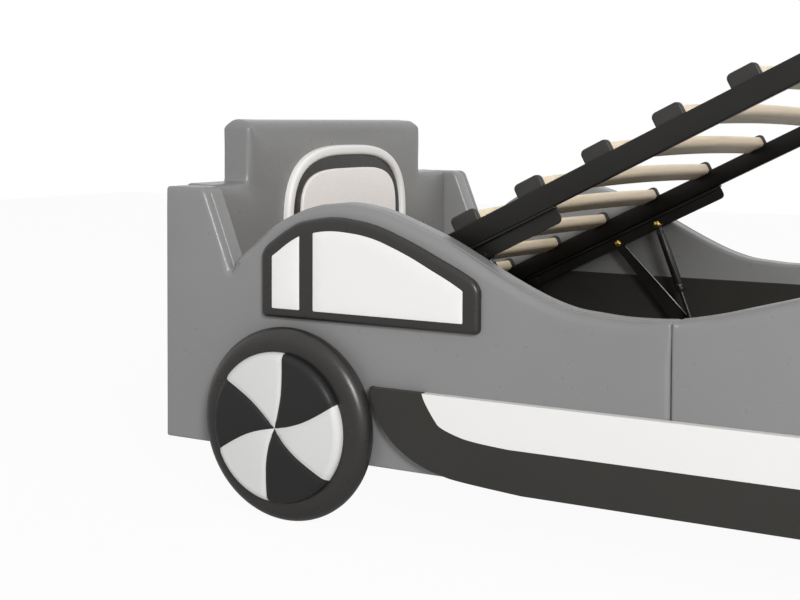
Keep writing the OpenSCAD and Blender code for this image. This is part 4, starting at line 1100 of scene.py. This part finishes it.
# slat holders: a soft cornered hood over the rail, round the slat's end
cap_l, hood, top, low = 54.0, 24.0, bolt_drop + 23.5, bolt_drop - 0.2
hood_form = ((497.5, 3.4), (496.9, 1.6), (495.5, 0.4), (493.8, 0.0), (485.4, 0.0), (484.4, 0.5), (484.0, 1.4))
parts = []
for uc in slat_at:
    for s in (-1, 1):
        rings = []
        for y, cut in hood_form:
            p = rounded(cap_l - 2 * cut, hood + 12 - cut, 9.5 - cut, 6, uc, top - (hood + 12) / 2 - cut / 2)
            p[:, 1] = np.maximum(p[:, 1], low)
            rings.append(raised(np.stack([p[:, 0], np.full(len(p), s * y), p[:, 1]], 1)))
        parts.append(loft(rings))
ob = make("slat_holders", *gather(parts), M_PLASTIC, LIFT, angle=60)
stands("slat_caps")

# lip along the top of each mechanism bar, just under the rail
bar_front, bar_rear = 278.0, 255.0
for s, sname in SIDES:
    p = rounded(11.0, 2.6, 1.1, 3)
    rings = []
    for u, k in ((-bar_rear + 4, 0.6), (-bar_rear + 6, 1.0), (bar_front - 8, 1.0), (bar_front - 6, 0.6)):
        rings.append(raised(np.stack([np.full(len(p), u), s * (482.5 + p[:, 0] * k), 16.4 + p[:, 1] * k], 1)))
    v, f = loft(rings)
    ob = make(f"bar_lip_{sname}", v, f, M_STEEL, LIFT, angle=50)



def widths(src):
    """Y of each vertex of a CAD object, millimetres."""
    return np.array([(src.matrix_world @ q.co).y * 1000 for q in src.data.vertices])


# bright metal tube along the arms' folded front: painted highlight on the fold
arm_l, arm_w, arm_tip = 296.0, 40.0, 10.0
for n in ("arm_near", "arm_far"):
    src = frame["nodes"][n]
    ys = widths(src)
    y = ys[np.argmin(abs(ys))]
    d = (base_p - arm_p) / arm_l
    path = []
    for t, w in ((16.0, arm_tip), (arm_l * 0.5, (arm_tip + arm_w / 2) / 2), (arm_l - 6.0, arm_w / 2)):
        q = arm_p + d * t + np.array([-d[1], d[0]]) * (w + 0.5)
        path.append((q[0], y, q[1]))
    v, f = tube(path, 1.3)
    ob = make("edge_" + n, v, f, M_HIGHLIGHT_EDGE, src["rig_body"])

ob = dress("frame_bolts", M_BRASS, 0.0006)
ob.data.materials.append(M_STEEL)
for f in ob.data.polygons:
    if abs(f.center.y) > 0.5 * (y_in + y_frame) * 0.001 - 0.018:  # the bolts' outer ends are black
        f.material_index = 1
dress("base_bolts", M_BRASS, 0.0006)
for n in ("arm_near", "arm_far", "link_near", "link_far"):
    dress(n, M_STEEL, 0.0015)

# sleeve with collars over the strut's cylinder: distance from the upper pivot, and radius
strut_p, strut_base_p, strut_l = np.array([-383.226, 500.89]), np.array([-256.678, 153.204]), 370.0
sleeve = [(16, 4.0), (17, 8.6), (19, 9.6), (24, 9.6), (24.6, 8.8), (25.6, 8.8), (26.2, 9.9), (60, 9.9),
          (144, 9.9), (146, 9.4), (147, 10.2), (149, 10.5), (152, 10.5), (152.8, 9.4), (154, 9.4),
          (154.8, 10.5), (160, 10.4), (163, 9.8), (165, 8.0), (165.2, 5.7)]
for n in ("strut_cyl_near", "strut_cyl_far"):
    dress(n, M_GLOSS, 0.0012)
    src = frame["nodes"][n]
    ys = widths(src)
    d = (strut_base_p - strut_p) / strut_l
    nrm = np.array([-d[1], d[0]])
    rings = []
    for t, r in sleeve:
        ang = np.linspace(0, 2 * math.pi, 28, endpoint=False)
        xz = strut_p + d * t + np.outer(np.cos(ang) * r, nrm)
        rings.append(np.stack([xz[:, 0], (ys.min() + ys.max()) / 2 + np.sin(ang) * r, xz[:, 1]], 1))
    v, f = loft(rings)
    ob = make("sleeve_" + n, v, f, M_GLOSS, src["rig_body"], angle=40)
for n in ("strut_rod_near", "strut_rod_far"):
    dress(n, M_GLOSS, 0.0008)

# floor, light, camera
floor_me = bpy.data.meshes.new("floor")
floor_me.from_pydata([(-9, -9, -0.001), (9, -9, -0.001), (9, 9, -0.001), (-9, 9, -0.001)], [], [(0, 1, 2, 3)])
floor = add_object("floor", floor_me)
n = Nodes(bpy.data.materials.new("floor_pale"))
n.coord = n.add("ShaderNodeTexCoord")
diff = n.add("ShaderNodeBsdfDiffuse")
glow = n.add("ShaderNodeEmission", Color=(1, 1, 1, 1))
path = n.add("ShaderNodeLightPath")
mix = n.add("ShaderNodeMixShader")
tint = n.ramp(n.noise(30.0, 2.0, 0.5), "Fac", [(0.3, (0.85, 0.85, 0.85, 1)), (0.7, (0.87, 0.87, 0.87, 1))])
n.link(tint, "Color", diff, "Color")
amount = n.add("ShaderNodeMath", operation="MULTIPLY")
amount.inputs[1].default_value = 0.95
n.link(path, "Is Camera Ray", amount, 0)
n.link(amount, "Value", mix, "Fac")
n.link(diff, "BSDF", mix, 1)
n.link(glow, "Emission", mix, 2)
n.link(mix, "Shader", n.out, "Surface")
floor_me.materials.append(n.owner)

world = bpy.data.worlds.new("studio")
bpy.context.scene.world = world
w = Nodes(world, "World")
w.coord = w.add("ShaderNodeTexCoord")
light = w.add("ShaderNodeBackground", Color=(1, 1, 1, 1))
# the same strength from every side, but through a map: with a plain number thin bright edges render brighter
world_light = 0.42
even = w.span(w.coord, "Generated", 0.0, 1.0, world_light, world_light)
w.link(even, "Result", light, "Strength")
seen = w.add("ShaderNodeBackground", Color=(1, 1, 1, 1), Strength=1.0)
path = w.add("ShaderNodeLightPath")
mix = w.add("ShaderNodeMixShader")
direct = w.add("ShaderNodeMath", operation="MAXIMUM")
w.link(path, "Is Camera Ray", direct, 0)
w.link(path, "Is Transmission Ray", direct, 1)
white = w.add("ShaderNodeMath", operation="MAXIMUM")
w.link(direct, "Value", white, 0)
w.link(path, "Is Glossy Ray", white, 1)
w.link(white, "Value", mix, "Fac")
w.link(light, "Background", mix, 1)
w.link(seen, "Background", mix, 2)
w.link(mix, "Shader", w.out, "Surface")


def area(name, loc, target, size, power):
    li = bpy.data.lights.new(name, "AREA")
    li.shape = "DISK"
    li.size = size
    li.energy = power
    ob = add_object(name, li)
    ob.location = loc
    ob.rotation_euler = (Vector(target) - Vector(loc)).to_track_quat("-Z", "Y").to_euler()


area("key", (6.9, -8.4, 5.4), (-0.1, 0, 0.4), 3.4, 1020)

# camera solved from the photograph: focal length and principal point in its pixels
focal, centre_x, centre_y, picture_w, picture_h = 1426.63, 276.11, 169.32, 800.0, 600.0
cam_data = bpy.data.cameras.new("camera")
cam_data.sensor_width = 36.0
cam_data.lens = 36.0 * focal / picture_w
cam_data.shift_x = (picture_w / 2 - centre_x) / picture_w
cam_data.shift_y = -(picture_h / 2 - centre_y) / picture_w
cam_data.clip_end = 60
cam = add_object("camera", cam_data)
yaw, pitch, roll = 33.417 * RAD, 1.888 * RAD, 0.048 * RAD
fwd = Vector((-math.sin(yaw) * math.cos(pitch), math.cos(yaw) * math.cos(pitch), -math.sin(pitch)))
right = Vector((math.cos(yaw), math.sin(yaw), 0.0))
up = right.cross(fwd)
rot = Matrix((right, up, -fwd)).transposed()
cam.matrix_world = Matrix.Translation((0.7076, -2.8127, 0.7395)) @ rot.to_4x4()
bpy.context.scene.camera = cam
bpy.context.scene.view_settings.view_transform = "Standard"
